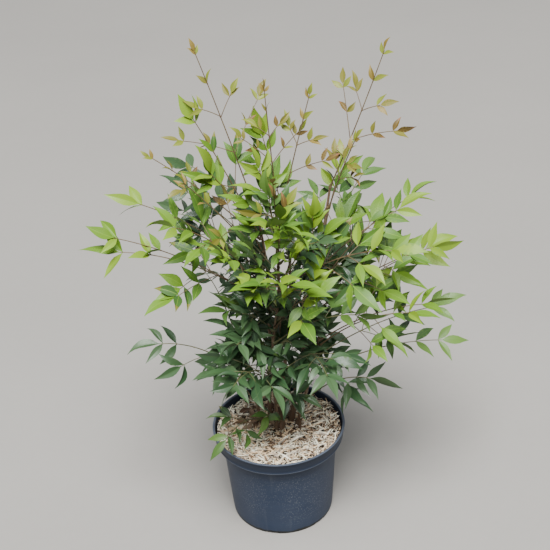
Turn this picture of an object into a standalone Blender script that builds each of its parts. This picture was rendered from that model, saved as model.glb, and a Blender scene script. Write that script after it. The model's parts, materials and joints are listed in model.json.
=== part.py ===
"""A young heavenly bamboo in a round nursery pot, as solids: pot, wood-chip fill, canes and leaf sprays.

Metres, +Z up. The origin is the middle of the pot's flat underside, and -Y is the plant's front.
A heavenly bamboo sends up several unbranched canes. Each leaf is a large spray: one long stalk
carries pairs of side stalks, and those carry pointed leaflets in threes and fives.
"""

import itertools
import math
import random
from collections import namedtuple

import bmesh
import bpy
from mathutils import Matrix, Quaternion, Vector
from mathutils.bvhtree import BVHTree

# Pot: a thin shell with a stepped collar under its lip.
POT_HEIGHT = 0.172
POT_BASE_RADIUS = 0.0855
POT_BODY_TOP_RADIUS = 0.0960
POT_COLLAR_HEIGHT = 0.024
POT_COLLAR_RADIUS = 0.1065
POT_RIM_RADIUS = 0.1110
POT_RIM_OVERHANG = 0.0022
POT_LIP_HEIGHT = 0.0035
POT_LIP_FLARE = 0.0006
POT_STEP_RISE = 0.0015
POT_WALL = 0.0018
POT_FLOOR = 0.0025
POT_FOOT_BEVEL = 0.0035
POT_SEGMENTS = 36
DRAIN_SLOTS = 6
DRAIN_SLOT_SIZE = (0.010, 0.022, 0.0036)  # across the wall, along it, up
FIRST_DRAIN_SLOT = 0.25  # of the step between slots, from +X
SMOOTH_BELOW = math.radians(60)  # edges that bend less are shaded smooth

# Wood-chip fill, up to just under the lip.
FILL_EDGE_BELOW_RIM = 0.0105
FILL_CROWN_RISE = 0.0035
FILL_FLAT_RADIUS = 0.060
CLEARANCE = 0.0003

# Canes: round, tapering stems from one crown of roots.
CANE_SIDES = 7
CANE_RINGS = 8
CANE_FOOT_RADIUS = 0.0042
CANE_TIP_RADIUS = 0.0021
CANE_FLARE = 1.6  # how much wider the foot is than the stem just above it
CANE_FLARE_SHARE = 0.12  # of the cane's height
CANE_SWAY = 0.018
SHORT_CANE_SIZE = 0.70  # thickness of the shortest cane, as a share of the tallest one's

# Sprays: three-sided stalks, with leaflets of eight faces that grow out of their walls.
STALK_FOOT_RADIUS = 0.00110
STALK_TIP_RADIUS = 0.00065
SIDE_STALK_RADIUS = 0.00070
SIDE_STALK_TAPER = 0.8
SIDE_STALK_ARCH = 0.04
SIDE_STALK_STAGGER = 0.001  # keeps the two side stalks of a pair off each other
PAIR_ON_SIDE_STALK = (0.42, 0.50)
STALK_STEPS = 5
PATH_STEPS = 24
SIDE_PATH_STEPS = 4
TUBE_STEPS = 6
BARE_SHARE = 0.38  # of the stalk, below its first pair of side stalks
SIDE_STALK_ANGLE = 48
SIDE_STALK_FALL = 2.2  # how fast the side stalks shorten towards the end
SHORTEST_SIDE_STALK = 0.014
ROOM_FOR_PAIR = 1.30  # leaflet lengths that a side stalk needs for a pair half-way
LEAFLET_SPREAD = 50
LEAFLET_FOOT = 0.0018  # length of stalk that a side leaflet takes up
END_LEAFLET_STALK = 0.006
LEAFLET_WIDTH = 0.35  # of its length
LEAFLET_WIDEST_AT = 0.42
LEAFLET_THICKNESS = 0.024  # of its length
LEAFLET_ARCH = 0.05
SIDE_LEAFLET_SHARE = 0.80
YOUNG_TIP_SIZE = 0.75  # of a bronze spray's other leaflets
LIGHT = (0.0, -0.45, 1.0)  # leaves turn to the sky over the plant's front
SPARE_ROOM = 0.0006  # kept between one node's leaves and the next node's
FREE_OF_STALK = 0.004  # from here on a leaflet keeps clear of its own spray too
FREE_OF_MAIN_STALK = 0.25  # and so does a side stalk, from this share of its length
ROOM_OVER_POT = 0.002
TURN_ASIDE = (0, 6, -6, 12, -12, 20, -20, 30, -30)
UP_ASIDE = (0, -0.05, 0.05, -0.10, 0.10)
HIGHEST_JOINT = 0.98
SEATING_STEPS = 3
TILT_ASIDE = (0, 12, -12, 24, -24)
GOLDEN_ANGLE = 137.5
SEED = 11

Cane = namedtuple("Cane", "name foot tip")
Spray = namedtuple("Spray", "name cane up end arch pairs side_share leaflet tint")
Stalk = namedtuple("Stalk", "path foot_radius tip_radius leaflets")
Leaflet = namedtuple("Leaflet", "share side root ahead face length")

# Places in metres: the foot on the fill as (x, y), and the tip as (x, y, z).
CANES = (
    Cane("cane_centre", (0.005, 0.010), (0.017, 0.010, 0.580)),
    Cane("cane_left", (-0.014, 0.014), (-0.013, 0.030, 0.556)),
    Cane("cane_right", (0.020, 0.008), (0.099, 0.010, 0.610)),
    Cane("cane_back", (0.006, 0.036), (0.030, 0.092, 0.500)),
    Cane("cane_front", (-0.004, -0.010), (0.012, -0.040, 0.440)),
    Cane("cane_low_left", (-0.026, 0.000), (-0.058, -0.006, 0.360)),
    Cane("cane_low_right", (0.030, -0.004), (0.074, -0.002, 0.350)),
)

# The sprays that draw the plant's outline. up is the share of the cane's length where the stalk
# leaves it, and 1 grows on from its tip. end is where the stalk's last leaflets spread.
OUTLINE_SPRAYS = (
    Spray("spray_tall_left", "cane_left", 1, (-0.089, 0.030, 0.836), 0.02, 3, 0.32, 0.035, "bronze"),
    Spray("spray_tall_right", "cane_right", 1, (0.182, 0.000, 0.834), -0.02, 3, 0.33, 0.037, "bronze"),
    Spray("spray_tall_middle", "cane_centre", 1, (0.008, 0.000, 0.786), 0.01, 3, 0.28, 0.030, "bronze"),
    Spray("spray_tall_mid_right", "cane_centre", 0.95, (0.073, 0, 0.771), 0.02, 3, 0.32, 0.033, "bronze"),
    Spray("spray_high_back", "cane_back", 1, (0.001, 0.080, 0.670), 0.05, 3, 0.34, 0.054, "lime"),
    Spray("spray_bronze_right", "cane_right", 0.93, (0.137, -0.030, 0.712), 0.04, 3, 0.24, 0.036, "bronze"),
    Spray("spray_bronze_left", "cane_left", 0.90, (-0.168, 0.020, 0.675), 0.04, 3, 0.26, 0.034, "bronze"),
    Spray("spray_high_right", "cane_right", 0.80, (0.118, 0.060, 0.610), 0.10, 2, 0.34, 0.056, "lime"),
    Spray("spray_high_left", "cane_left", 0.84, (-0.077, 0.050, 0.645), 0.08, 3, 0.36, 0.056, "lime"),
    Spray("spray_upper_left", "cane_left", 0.66, (-0.145, -0.050, 0.600), 0.10, 3, 0.34, 0.056, "lime"),
    Spray("spray_arm_left", "cane_centre", 0.56, (-0.226, -0.020, 0.536), 0.10, 3, 0.34, 0.060, "lime"),
    Spray("spray_arm_right", "cane_right", 0.42, (0.248, 0.040, 0.471), 0.10, 3, 0.34, 0.060, "lime"),
    Spray("spray_upper_right", "cane_right", 0.60, (0.226, 0.060, 0.557), 0.10, 3, 0.32, 0.052, "lime"),
    Spray("spray_front_right", "cane_centre", 0.66, (0.190, -0.060, 0.535), 0.10, 3, 0.34, 0.058, "lime"),
    Spray("spray_front_high", "cane_centre", 0.84, (0.006, -0.085, 0.604), 0.10, 3, 0.36, 0.056, "lime"),
    Spray("spray_front_left", "cane_left", 0.58, (-0.067, -0.100, 0.566), 0.10, 3, 0.36, 0.056, "lime"),
    Spray("spray_front_middle", "cane_front", 1, (0.014, -0.140, 0.540), 0.06, 3, 0.40, 0.058, "lime"),
    Spray("spray_front_mid_right", "cane_front", 0.84, (0.074, -0.115, 0.500), 0.10, 3, 0.38, 0.056, "lime"),
    Spray("spray_low_arm_right", "cane_low_right", 0.62, (0.268, -0.02, 0.337), 0.08, 3, 0.24, 0.054, "green"),
    Spray("spray_low_arm_left", "cane_low_left", 0.55, (-0.181, -0.02, 0.361), 0.12, 3, 0.42, 0.058, "deep"),
    Spray("spray_right_yellow", "cane_low_right", 0.9, (0.215, -0.07, 0.427), 0.1, 3, 0.34, 0.052, "lime"),
    Spray("spray_low_front_left", "cane_low_left", 0.3, (-0.092, -0.05, 0.318), 0.14, 2, 0.44, 0.052, "deep"),
    Spray("spray_low_front_right", "cane_low_right", 0.34, (0.15, -0.04, 0.284), 0.14, 3, 0.36, 0.054, "deep"),
    Spray("spray_low_centre", "cane_front", 0.10, (-0.016, -0.050, 0.226), 0.16, 1, 0.30, 0.048, "green"),
    Spray("spray_low_centre_right", "cane_front", 0.24, (0.036, -0.05, 0.266), 0.16, 2, 0.36, 0.05, "deep"),
    Spray("spray_over_rim", "cane_low_left", 0.10, (-0.086, -0.068, 0.198), 0.16, 2, 0.34, 0.042, "green"),
)

# The sprays between them follow a rule: (lowest, highest) share of the cane's length, how many,
# and the first one's heading, with 0 to the right, 90 to the back and 270 to the front.
FILL_SPRAYS = {
    "cane_centre": (0.34, 0.74, 3, 250),
    "cane_left": (0.26, 0.74, 3, 240),
    "cane_right": (0.26, 0.66, 2, 275),
    "cane_back": (0.24, 0.90, 4, 95),
    "cane_front": (0.46, 0.72, 2, 215),
    "cane_low_left": (0.84, 0.98, 1, 120),
    "cane_low_right": (0.96, 0.98, 1, 60),
}
# A spray's shape at the foot of the plant and at FULL_SPRAY_HEIGHT.
FILL_REACH = (0.134, 0.172)
FILL_RISE = (8, 36)
FILL_ARCH = (0.16, 0.08)
FILL_LEAFLET = (0.054, 0.056)
DEPTH_GAIN = 0.20  # longer sprays to the front and the back
FRONT_LIFT = 14  # degrees, towards the light
FULL_SPRAY_HEIGHT = 0.44
GREEN_ABOVE = 0.42  # metres over the floor: higher leaves are younger and lighter
LIME_ABOVE = 0.60

# Colours of the leaves, the bark, the chips and the plastic: (red, green, blue), roughness.
FINISHES = {
    "deep": ((0.045, 0.115, 0.030), 0.45),
    "green": ((0.085, 0.200, 0.035), 0.45),
    "lime": ((0.210, 0.380, 0.050), 0.50),
    "bronze": ((0.330, 0.300, 0.070), 0.50),
    "bark": ((0.130, 0.070, 0.045), 0.80),
    "chips": ((0.420, 0.340, 0.250), 0.95),
    "plastic": ((0.050, 0.062, 0.085), 0.55),
}


def clear_scene():
    for thing in list(bpy.data.objects):
        bpy.data.objects.remove(thing, do_unlink=True)


def finish(name):
    """The Principled material of that name, made once."""
    material = bpy.data.materials.get(name)
    if material is None:
        colour, roughness = FINISHES[name]
        material = bpy.data.materials.new(name)
        material.use_nodes = True
        shader = material.node_tree.nodes["Principled BSDF"]
        shader.inputs["Base Color"].default_value = (*colour, 1.0)
        shader.inputs["Roughness"].default_value = roughness
        shader.inputs["Metallic"].default_value = 0.0
    return material


def add_object(name, points, faces, finish_name):
    """A mesh object whose faces all point outward."""
    mesh = bpy.data.meshes.new(name)
    mesh.from_pydata([tuple(point) for point in points], [], faces)
    shape = bmesh.new()
    shape.from_mesh(mesh)
    bmesh.ops.recalc_face_normals(shape, faces=shape.faces)
    shape.to_mesh(mesh)
    shape.free()
    mesh.materials.append(finish(finish_name))
    made = bpy.data.objects.new(name, mesh)
    bpy.context.scene.collection.objects.link(made)
    return made


def between(low, high, share):
    return low + (high - low) * share


# ---------------------------------------------------------------- pot and fill


def turned(name, profile, finish_name):
    """A closed solid turned round Z from (radius, height) points that start and end on the axis."""
    points, faces, rings = [], [], []
    for radius, height in profile:
        count = 1 if radius == 0 else POT_SEGMENTS
        rings.append(range(len(points), len(points) + count))
        for step in range(count):
            angle = math.tau * step / POT_SEGMENTS
            points.append((radius * math.cos(angle), radius * math.sin(angle), height))
    for lower, upper in zip(rings, rings[1:]):
        for step in range(POT_SEGMENTS):
            ahead = step + 1
            corners = [lower[step % len(lower)], lower[ahead % len(lower)]]
            corners += [upper[ahead % len(upper)], upper[step % len(upper)]]
            faces.append(tuple(dict.fromkeys(corners)))
    made = add_object(name, points, faces, finish_name)
    made.data.shade_smooth()
    made.data.set_sharp_from_angle(angle=SMOOTH_BELOW / 2)
    return made


def make_pot():
    collar_foot = POT_HEIGHT - POT_COLLAR_HEIGHT
    lip_foot = POT_HEIGHT - POT_LIP_HEIGHT
    neck_radius = POT_RIM_RADIUS - POT_RIM_OVERHANG
    outside = [
        (0, 0),
        (POT_BASE_RADIUS - POT_FOOT_BEVEL, 0),
        (POT_BASE_RADIUS, POT_FOOT_BEVEL),
        (POT_BODY_TOP_RADIUS, collar_foot),
        (POT_COLLAR_RADIUS, collar_foot + POT_STEP_RISE),
        (neck_radius, lip_foot),
        (POT_RIM_RADIUS, lip_foot + POT_LIP_FLARE),
        (POT_RIM_RADIUS, POT_HEIGHT),
    ]
    inside = [
        (neck_radius - POT_WALL, POT_HEIGHT),
        (POT_COLLAR_RADIUS - POT_WALL, collar_foot + POT_STEP_RISE + POT_WALL),
        (POT_BODY_TOP_RADIUS - POT_WALL, collar_foot + POT_WALL),
        (POT_BASE_RADIUS - POT_WALL, POT_FLOOR),
        (0, POT_FLOOR),
    ]
    pot = turned("pot", outside + inside, "plastic")
    cut_drain_slots(pot)


def cut_drain_slots(pot):
    """Shallow notches round the foot, where water leaves."""
    for slot in range(DRAIN_SLOTS):
        angle = math.tau * (slot + FIRST_DRAIN_SLOT) / DRAIN_SLOTS
        bpy.ops.mesh.primitive_cube_add(size=1)
        cutter = bpy.context.object
        cutter.name = f"cutter_drain_{slot}"
        cutter.data.transform(Matrix.Diagonal((*DRAIN_SLOT_SIZE[:2], 2 * DRAIN_SLOT_SIZE[2], 1)))
        cutter.location = (POT_BASE_RADIUS * math.cos(angle), POT_BASE_RADIUS * math.sin(angle), 0)
        cutter.rotation_euler.z = angle
        cutter.hide_render = True
        cutter.display_type = "WIRE"
        cut = pot.modifiers.new(cutter.name, "BOOLEAN")
        cut.operation = "DIFFERENCE"
        cut.object = cutter


def fill_height(radius):
    """Height of the fill's top at that distance from the pot's axis."""
    edge = POT_HEIGHT - FILL_EDGE_BELOW_RIM
    outer = POT_COLLAR_RADIUS - POT_WALL
    share = min(1.0, max(0.0, (outer - radius) / (outer - FILL_FLAT_RADIUS)))
    return edge + FILL_CROWN_RISE * share


def make_fill():
    """Peat and chips as one plug, clear of the wall and the floor by a hair."""
    gap = CLEARANCE / math.cos(math.pi / POT_SEGMENTS)
    collar_foot = POT_HEIGHT - POT_COLLAR_HEIGHT
    collar_inner = POT_COLLAR_RADIUS - POT_WALL - gap
    profile = [
        (0, POT_FLOOR + gap),
        (POT_BASE_RADIUS - POT_WALL - gap, POT_FLOOR + gap),
        (POT_BODY_TOP_RADIUS - POT_WALL - gap, collar_foot + POT_WALL + gap),
        (collar_inner, collar_foot + POT_STEP_RISE + POT_WALL + gap),
        (collar_inner, fill_height(collar_inner)),
        (FILL_FLAT_RADIUS, fill_height(FILL_FLAT_RADIUS)),
        (0, fill_height(0)),
    ]
    turned("chip_fill", profile, "chips")


# ---------------------------------------------------------------- the plant's rule


def square_to(direction, vector):
    """The unit part of a vector that stands square to a direction."""
    return (vector - direction * vector.dot(direction)).normalized()


def upper_side(direction):
    """The side of a stalk or leaflet that faces the light."""
    return square_to(direction, Vector(LIGHT))


def arched(start, end, arch, steps):
    """A path from start to end that bulges upward by that share of its length."""
    bulge = Vector((0, 0, 4 * arch * (end - start).length))
    shares = [step / steps for step in range(steps + 1)]
    return [start.lerp(end, share) + bulge * share * (1 - share) for share in shares]


def along(path, share):
    """The point at that share of a path, and the path's direction there."""
    place = min(max(share, 0.0), 1.0) * (len(path) - 1)
    index = min(int(place), len(path) - 2)
    start, end = path[index], path[index + 1]
    return start.lerp(end, place - index), (end - start).normalized()


def path_length(path):
    return sum((end - start).length for start, end in zip(path, path[1:]))


def cane_path(cane):
    """Centre line of a cane, with a slight sway to one side."""
    foot = Vector((*cane.foot, fill_height(0) + CLEARANCE))
    tip = Vector(cane.tip)
    side = (tip - foot).cross(Vector((0, 0, 1)))
    sway = side.normalized() * CANE_SWAY if side.length > 1e-6 else Vector()
    shares = [ring / (CANE_RINGS - 1) for ring in range(CANE_RINGS)]
    return [foot.lerp(tip, share) + sway * math.sin(math.pi * share) * share for share in shares]


def cane_radius(cane, up):
    tallness = (cane.tip[2] - POT_HEIGHT) / (CANES[0].tip[2] - POT_HEIGHT)
    size = between(SHORT_CANE_SIZE, 1.0, tallness)
    flare = max(0.0, 1 - up / CANE_FLARE_SHARE)
    return size * between(CANE_FOOT_RADIUS, CANE_TIP_RADIUS, up) * (1 + (CANE_FLARE - 1) * flare**2)


def spray_path(spray, cane, turn, inward):
    """The main stalk's centre line, turned about the cane by some degrees, its foot moved in."""
    joint, cane_ahead = along(cane_path(cane), spray.up)
    reach = Matrix.Rotation(math.radians(turn), 3, "Z") @ (Vector(spray.end) - joint)
    if spray.up == 1:
        start = joint + cane_ahead * (CLEARANCE + STALK_FOOT_RADIUS - inward)
    else:
        outward = Vector((reach.x, reach.y, 0)).normalized()
        offset = cane_radius(cane, spray.up) + CLEARANCE + STALK_FOOT_RADIUS - inward
        start = joint + square_to(cane_ahead, outward) * offset
    return arched(start, joint + reach, spray.arch, PATH_STEPS)


def one_leaflet(stalk_path, normal, share, side, length, dice):
    """A leaflet on the stalk's left (1), on its right (-1) or at its end (0)."""
    root, forward = along(stalk_path, share)
    swing = side * (LEAFLET_SPREAD + dice.uniform(-9, 9)) if side else dice.uniform(-8, 8)
    droop = dice.uniform(-4, 20) + (5 if side else 0)
    roll = dice.uniform(-16, 16) + side * 6
    normal = square_to(forward, normal)
    ahead = Quaternion(normal, math.radians(swing)) @ forward
    ahead = Quaternion(ahead.cross(normal), math.radians(-droop)) @ ahead
    face = square_to(ahead, upper_side(ahead) + normal)
    face = Quaternion(ahead, math.radians(roll)) @ face
    length *= (SIDE_LEAFLET_SHARE if side else 1.0) * dice.uniform(0.88, 1.10)
    return Leaflet(share, side, root, ahead, face, length)


def leaflet_group(path, normal, size, dice):
    """Three leaflets at a stalk's end: a pair, and one on a short stalk of its own."""
    pair_share = 1 - END_LEAFLET_STALK / path_length(path)
    shares = ((pair_share, 1), (pair_share, -1), (1.0, 0))
    return [one_leaflet(path, normal, share, side, size, dice) for share, side in shares]


def side_stalk(node, forward, normal, side, length, size, leaflet, dice):
    """A side stalk with three leaflets at its end and, where it is long enough, a pair below them."""
    ahead = Quaternion(normal, math.radians(side * (SIDE_STALK_ANGLE + dice.uniform(-8, 8)))) @ forward
    ahead = Quaternion(ahead.cross(normal), math.radians(-dice.uniform(0, 14))) @ ahead
    start = node + forward * SIDE_STALK_STAGGER * side
    end = start + ahead * length * dice.uniform(0.88, 1.08)
    path = arched(start, end, SIDE_STALK_ARCH, SIDE_PATH_STEPS)
    face = (upper_side(ahead) + normal).normalized()
    leaflets = leaflet_group(path, face, size, dice)
    if length > ROOM_FOR_PAIR * leaflet:
        middle = dice.uniform(*PAIR_ON_SIDE_STALK)
        leaflets += [one_leaflet(path, face, middle, way, size * 0.92, dice) for way in (1, -1)]
    return Stalk(path, SIDE_STALK_RADIUS, SIDE_STALK_RADIUS * SIDE_STALK_TAPER, leaflets), face


def spray_stalks(spray, cane, turn, inward):
    """The spray's stalks, the main one first, each with its upper side and its leaflets."""
    dice = random.Random(f"{SEED} {spray.name}")
    path = spray_path(spray, cane, turn, inward)
    reach = path_length(path)
    normal = upper_side(path[-1] - path[0])
    tip_size = spray.leaflet * (YOUNG_TIP_SIZE if spray.tint == "bronze" else 1)
    leaflets = leaflet_group(path, normal, tip_size, dice)
    sides = []
    for pair in range(spray.pairs):
        share = pair / spray.pairs
        place = between(BARE_SHARE, 1.0, share**0.95)
        node, forward = along(path, place)
        upper = square_to(forward, normal)
        size = spray.leaflet * dice.uniform(0.90, 1.04)
        if pair == spray.pairs - 1:
            leaflets += [one_leaflet(path, normal, place, way, size, dice) for way in (1, -1)]
            continue
        length = max(SHORTEST_SIDE_STALK, reach * spray.side_share * (1 - share) ** SIDE_STALK_FALL)
        for side in (1, -1):
            sides.append(side_stalk(node, forward, upper, side, length, size, spray.leaflet, dice))
    return [(Stalk(path, STALK_FOOT_RADIUS, STALK_TIP_RADIUS, leaflets), normal)] + sides


def fill_sprays():
    """The sprays that a rule sets round each cane, turning by the golden angle."""
    made = []
    for cane in CANES:
        lowest, highest, count, first = FILL_SPRAYS[cane.name]
        dice = random.Random(f"{SEED} {cane.name}")
        for index in range(count):
            up = between(lowest, highest, index / max(1, count - 1))
            joint, _ = along(cane_path(cane), up)
            share = min(1.0, max(0.0, (joint.z - POT_HEIGHT) / (FULL_SPRAY_HEIGHT - POT_HEIGHT)))
            heading = math.radians(first + GOLDEN_ANGLE * index + dice.uniform(-12, 12))
            lift = -FRONT_LIFT * math.sin(heading)
            rise = math.radians(between(*FILL_RISE, share) + lift + dice.uniform(-6, 6))
            depth = 1 + DEPTH_GAIN * abs(math.sin(heading))
            reach = between(*FILL_REACH, share) * depth * dice.uniform(0.88, 1.10)
            flat = reach * math.cos(rise)
            aside, back = flat * math.cos(heading), flat * math.sin(heading)
            end = joint + Vector((aside, back, reach * math.sin(rise)))
            tint = "lime" if end.z > LIME_ABOVE else ("green" if end.z > GREEN_ABOVE else "deep")
            leaflet = between(*FILL_LEAFLET, share) * dice.uniform(0.92, 1.08)
            name = f"spray_{cane.name[5:]}_{index + 1}"
            made.append(Spray(name, cane.name, up, end, between(*FILL_ARCH, share), 3, 0.36, leaflet, tint))
    return made


# ---------------------------------------------------------------- solids from the rule


def stalk_ring(path, share, normal, radius):
    """A stalk's top, left and right corners at one place, and its upper side there."""
    centre, forward = along(path, share)
    normal = square_to(forward, normal)
    across = forward.cross(normal)
    low = centre - normal * radius / 2
    side = across * radius * math.sqrt(3) / 2
    return [centre + normal * radius, low - side, low + side], normal


def leaflet_ring(leaflet, near_side, spare=0.0):
    """A leaflet's widest place: its near edge, its far edge and the ridge over them."""
    across = leaflet.ahead.cross(leaflet.face) * (near_side or 1)
    middle = leaflet.root + leaflet.ahead * leaflet.length * LEAFLET_WIDEST_AT
    middle += leaflet.face * leaflet.length * LEAFLET_ARCH
    half_width = leaflet.length * LEAFLET_WIDTH / 2 + spare
    ridge = middle + leaflet.face * (leaflet.length * LEAFLET_THICKNESS + spare)
    return [middle - across * half_width, middle + across * half_width, ridge]


def ring_shares(stalk):
    """Where a stalk's rings lie: even steps, and two rings for each pair of side leaflets."""
    half = LEAFLET_FOOT / 2 / path_length(stalk.path)
    places = sorted({leaflet.share for leaflet in stalk.leaflets if leaflet.side})
    shares = {0.0, 1.0}
    shares.update(place + half * way for place in places for way in (1, -1))
    steps = STALK_STEPS if len(stalk.path) > PATH_STEPS else 1
    for step in range(1, steps):
        if all(abs(step / steps - share) > 4 * half for share in shares):
            shares.add(step / steps)
    return sorted(shares), half


def stalk_solid(stalk, normal):
    """Points and faces of one closed shape: a stalk, with leaflets that grow out of its walls."""
    shares, half = ring_shares(stalk)
    points = []
    for share in shares:
        radius = between(stalk.foot_radius, stalk.tip_radius, share)
        ring, normal = stalk_ring(stalk.path, share, normal, radius)
        points += ring
    openings = {}
    for leaflet in stalk.leaflets:
        if leaflet.side:
            ring = min(range(len(shares)), key=lambda k: abs(shares[k] - (leaflet.share - half)))
            openings[ring, leaflet.side] = leaflet
    faces = [(0, 2, 1)]
    for ring in range(len(shares) - 1):
        low, high = 3 * ring, 3 * ring + 3
        faces.append((low + 1, low + 2, high + 2, high + 1))
        for side, corner in ((1, 1), (-1, 2)):
            wall = [low + corner, high + corner, high, low]
            leaflet = openings.get((ring, side))
            if leaflet is None:
                faces.append(tuple(wall))
                continue
            faces += grown(points, wall, leaflet)
    top = 3 * len(shares) - 3
    end = (top + 1, top + 2, top)
    tips = [leaflet for leaflet in stalk.leaflets if not leaflet.side]
    faces += grown(points, end, tips[0]) if tips else [end]
    return points, faces


def grown(points, wall, leaflet):
    """Adds a leaflet's corners and gives the faces that lead from that wall of its stalk to its tip."""
    near, far, ridge, tip = range(len(points), len(points) + 4)
    points += leaflet_ring(leaflet, leaflet.side) + [leaflet.root + leaflet.ahead * leaflet.length]
    ring = (near, far, ridge)
    return wrapped(points, wall, ring) + [(near, far, tip), (far, ridge, tip), (ridge, near, tip)]


def wrapped(points, wall, ring):
    """The faces between a stalk's wall and a leaflet's ring: of all lacings, the one that holds most."""
    middle = sum((points[corner] for corner in wall), Vector()) / len(wall)
    arms = {corner: points[corner] - middle for corner in (*wall, *ring)}
    best_faces, most = [], -1.0
    turns = len(wall) + len(ring)
    for ring_turns in itertools.combinations(range(turns), len(ring)):
        if len({0, 1} & set(ring_turns)) != 1:
            continue
        faces, on_wall, on_ring = [tuple(ring)], 0, 0
        for turn in range(turns):
            here, there = wall[on_wall % len(wall)], ring[on_ring % len(ring)]
            if turn in ring_turns:
                on_ring += 1
                faces.append((here, ring[on_ring % len(ring)], there))
            else:
                on_wall += 1
                faces.append((here, wall[on_wall % len(wall)], there))
        held = abs(sum(arms[a].dot(arms[b].cross(arms[c])) for a, b, c in faces))
        if held > most:
            best_faces, most = faces[1:], held
    return best_faces


def leaflet_shape(leaflet, start, spare):
    """Points and faces of the leaflet alone, from a distance along it, a little larger than life."""
    tip = leaflet.root + leaflet.ahead * (leaflet.length + spare)
    points = [leaflet.root + leaflet.ahead * start, tip] + leaflet_ring(leaflet, 0, spare)
    points.append(points[4] - leaflet.face * (leaflet.length * LEAFLET_THICKNESS + 2 * spare))
    faces = [(0, 2, 4), (0, 4, 3), (0, 3, 5), (0, 5, 2), (1, 4, 2), (1, 3, 4), (1, 5, 3), (1, 2, 5)]
    return points, faces


def stalk_tube(stalk, normal, spare, start=0.0):
    """Points and faces of the stalk alone, a little thicker than life."""
    points, faces = [], [(0, 2, 1)]
    shares = [between(start, 1.0, step / TUBE_STEPS) for step in range(TUBE_STEPS + 1)]
    for ring, share in enumerate(shares):
        radius = between(stalk.foot_radius, stalk.tip_radius, share) + 2 * spare
        corners, normal = stalk_ring(stalk.path, share, normal, radius)
        points += corners
        if ring:
            low, high = 3 * ring - 3, 3 * ring
            for first, second in ((0, 1), (1, 2), (2, 0)):
                faces.append((low + first, low + second, high + second, high + first))
    faces.append(tuple(range(len(points) - 3, len(points))))
    return points, faces


def tree_of(shape):
    points, faces = shape
    return BVHTree.FromPolygons([tuple(point) for point in points], faces)


def free(shape, trees):
    tree = tree_of(shape)
    return not any(tree.overlap(other) for other in trees)


def above_pot(points):
    """True where a leaf clears the fill and the lip."""
    for point in points:
        radius = math.hypot(point.x, point.y)
        over_fill = radius < POT_BODY_TOP_RADIUS
        if over_fill and point.z < fill_height(radius) + SPARE_ROOM:
            return False
        over_pot = not over_fill and radius < POT_RIM_RADIUS + ROOM_OVER_POT
        if over_pot and point.z < POT_HEIGHT + ROOM_OVER_POT:
            return False
    return True


def seated(spray, cane, turn, cane_tree):
    """The spray's stalks, with the main one's foot moved in until a hair from the cane."""
    inward = 0.0
    for _ in range(SEATING_STEPS):
        stalks = spray_stalks(spray, cane, turn, inward)
        points, _ = stalk_tube(*stalks[0], 0.0)
        foot = points[:3]
        probes = points + [(foot[i] + foot[i - 1]) / 2 for i in range(3)]
        inward += min(cane_tree.find_nearest(probe)[3] for probe in probes) - CLEARANCE
    return spray_stalks(spray, cane, turn, inward)


def settle(spray, cane, standing):
    """Turns the spray aside until its stalks fit, then keeps the leaflets that fit too."""
    others = [tree for name, tree in standing.items() if name != cane.name]
    shifts = UP_ASIDE if spray.up < 1 else (0,)
    for shift, turn in itertools.product(shifts, TURN_ASIDE):
        moved = spray._replace(up=min(spray.up + shift, HIGHEST_JOINT)) if shift else spray
        stalks = seated(moved, cane, turn, standing[cane.name])
        tubes = [stalk_tube(stalk, normal, SPARE_ROOM) for stalk, normal in stalks]
        bare = stalk_tube(*stalks[0], 0.0)
        clear = all(free(tube, others) and above_pot(tube[0]) for tube in tubes)
        if clear and free(bare, [standing[cane.name]]):
            break
    else:
        return []
    own = [tree_of(stalk_tube(*side, SPARE_ROOM, FREE_OF_MAIN_STALK)) for side in stalks[1:]]
    kept = []
    for stalk, normal in stalks:
        leaflets = []
        for leaflet in stalk.leaflets:
            for tilt in TILT_ASIDE:
                turn = Quaternion(leaflet.ahead.cross(leaflet.face), math.radians(tilt))
                turned_leaflet = leaflet._replace(ahead=turn @ leaflet.ahead, face=turn @ leaflet.face)
                whole = leaflet_shape(turned_leaflet, 0.0, SPARE_ROOM)
                blade = leaflet_shape(turned_leaflet, FREE_OF_STALK, SPARE_ROOM / 2)
                if free(whole, standing.values()) and free(blade, own) and above_pot(whole[0]):
                    leaflets.append(turned_leaflet)
                    own.append(tree_of(blade))
                    break
        kept.append((stalk._replace(leaflets=leaflets), normal))
    return kept


def fuse(name, shapes, finish_name):
    """One solid from a main stalk and its side stalks, by a Boolean union on their collection."""
    group = bpy.data.collections.new(name + "_sides")
    bpy.context.scene.collection.children.link(group)
    for index, shape in enumerate(shapes[1:]):
        piece = add_object(f"{name}_side_{index}", *shape, finish_name)
        bpy.context.scene.collection.objects.unlink(piece)
        group.objects.link(piece)
    whole = add_object(name, *shapes[0], finish_name)
    if not shapes[1:]:
        return whole
    union = whole.modifiers.new("union", "BOOLEAN")
    union.operation = "UNION"
    union.operand_type = "COLLECTION"
    union.collection = group
    union.solver = "MANIFOLD"
    graph = bpy.context.evaluated_depsgraph_get()
    joined = bpy.data.meshes.new_from_object(whole.evaluated_get(graph))
    whole.modifiers.clear()
    whole.data = joined
    for piece in list(group.objects):
        bpy.data.objects.remove(piece, do_unlink=True)
    bpy.data.collections.remove(group)
    return whole


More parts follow.
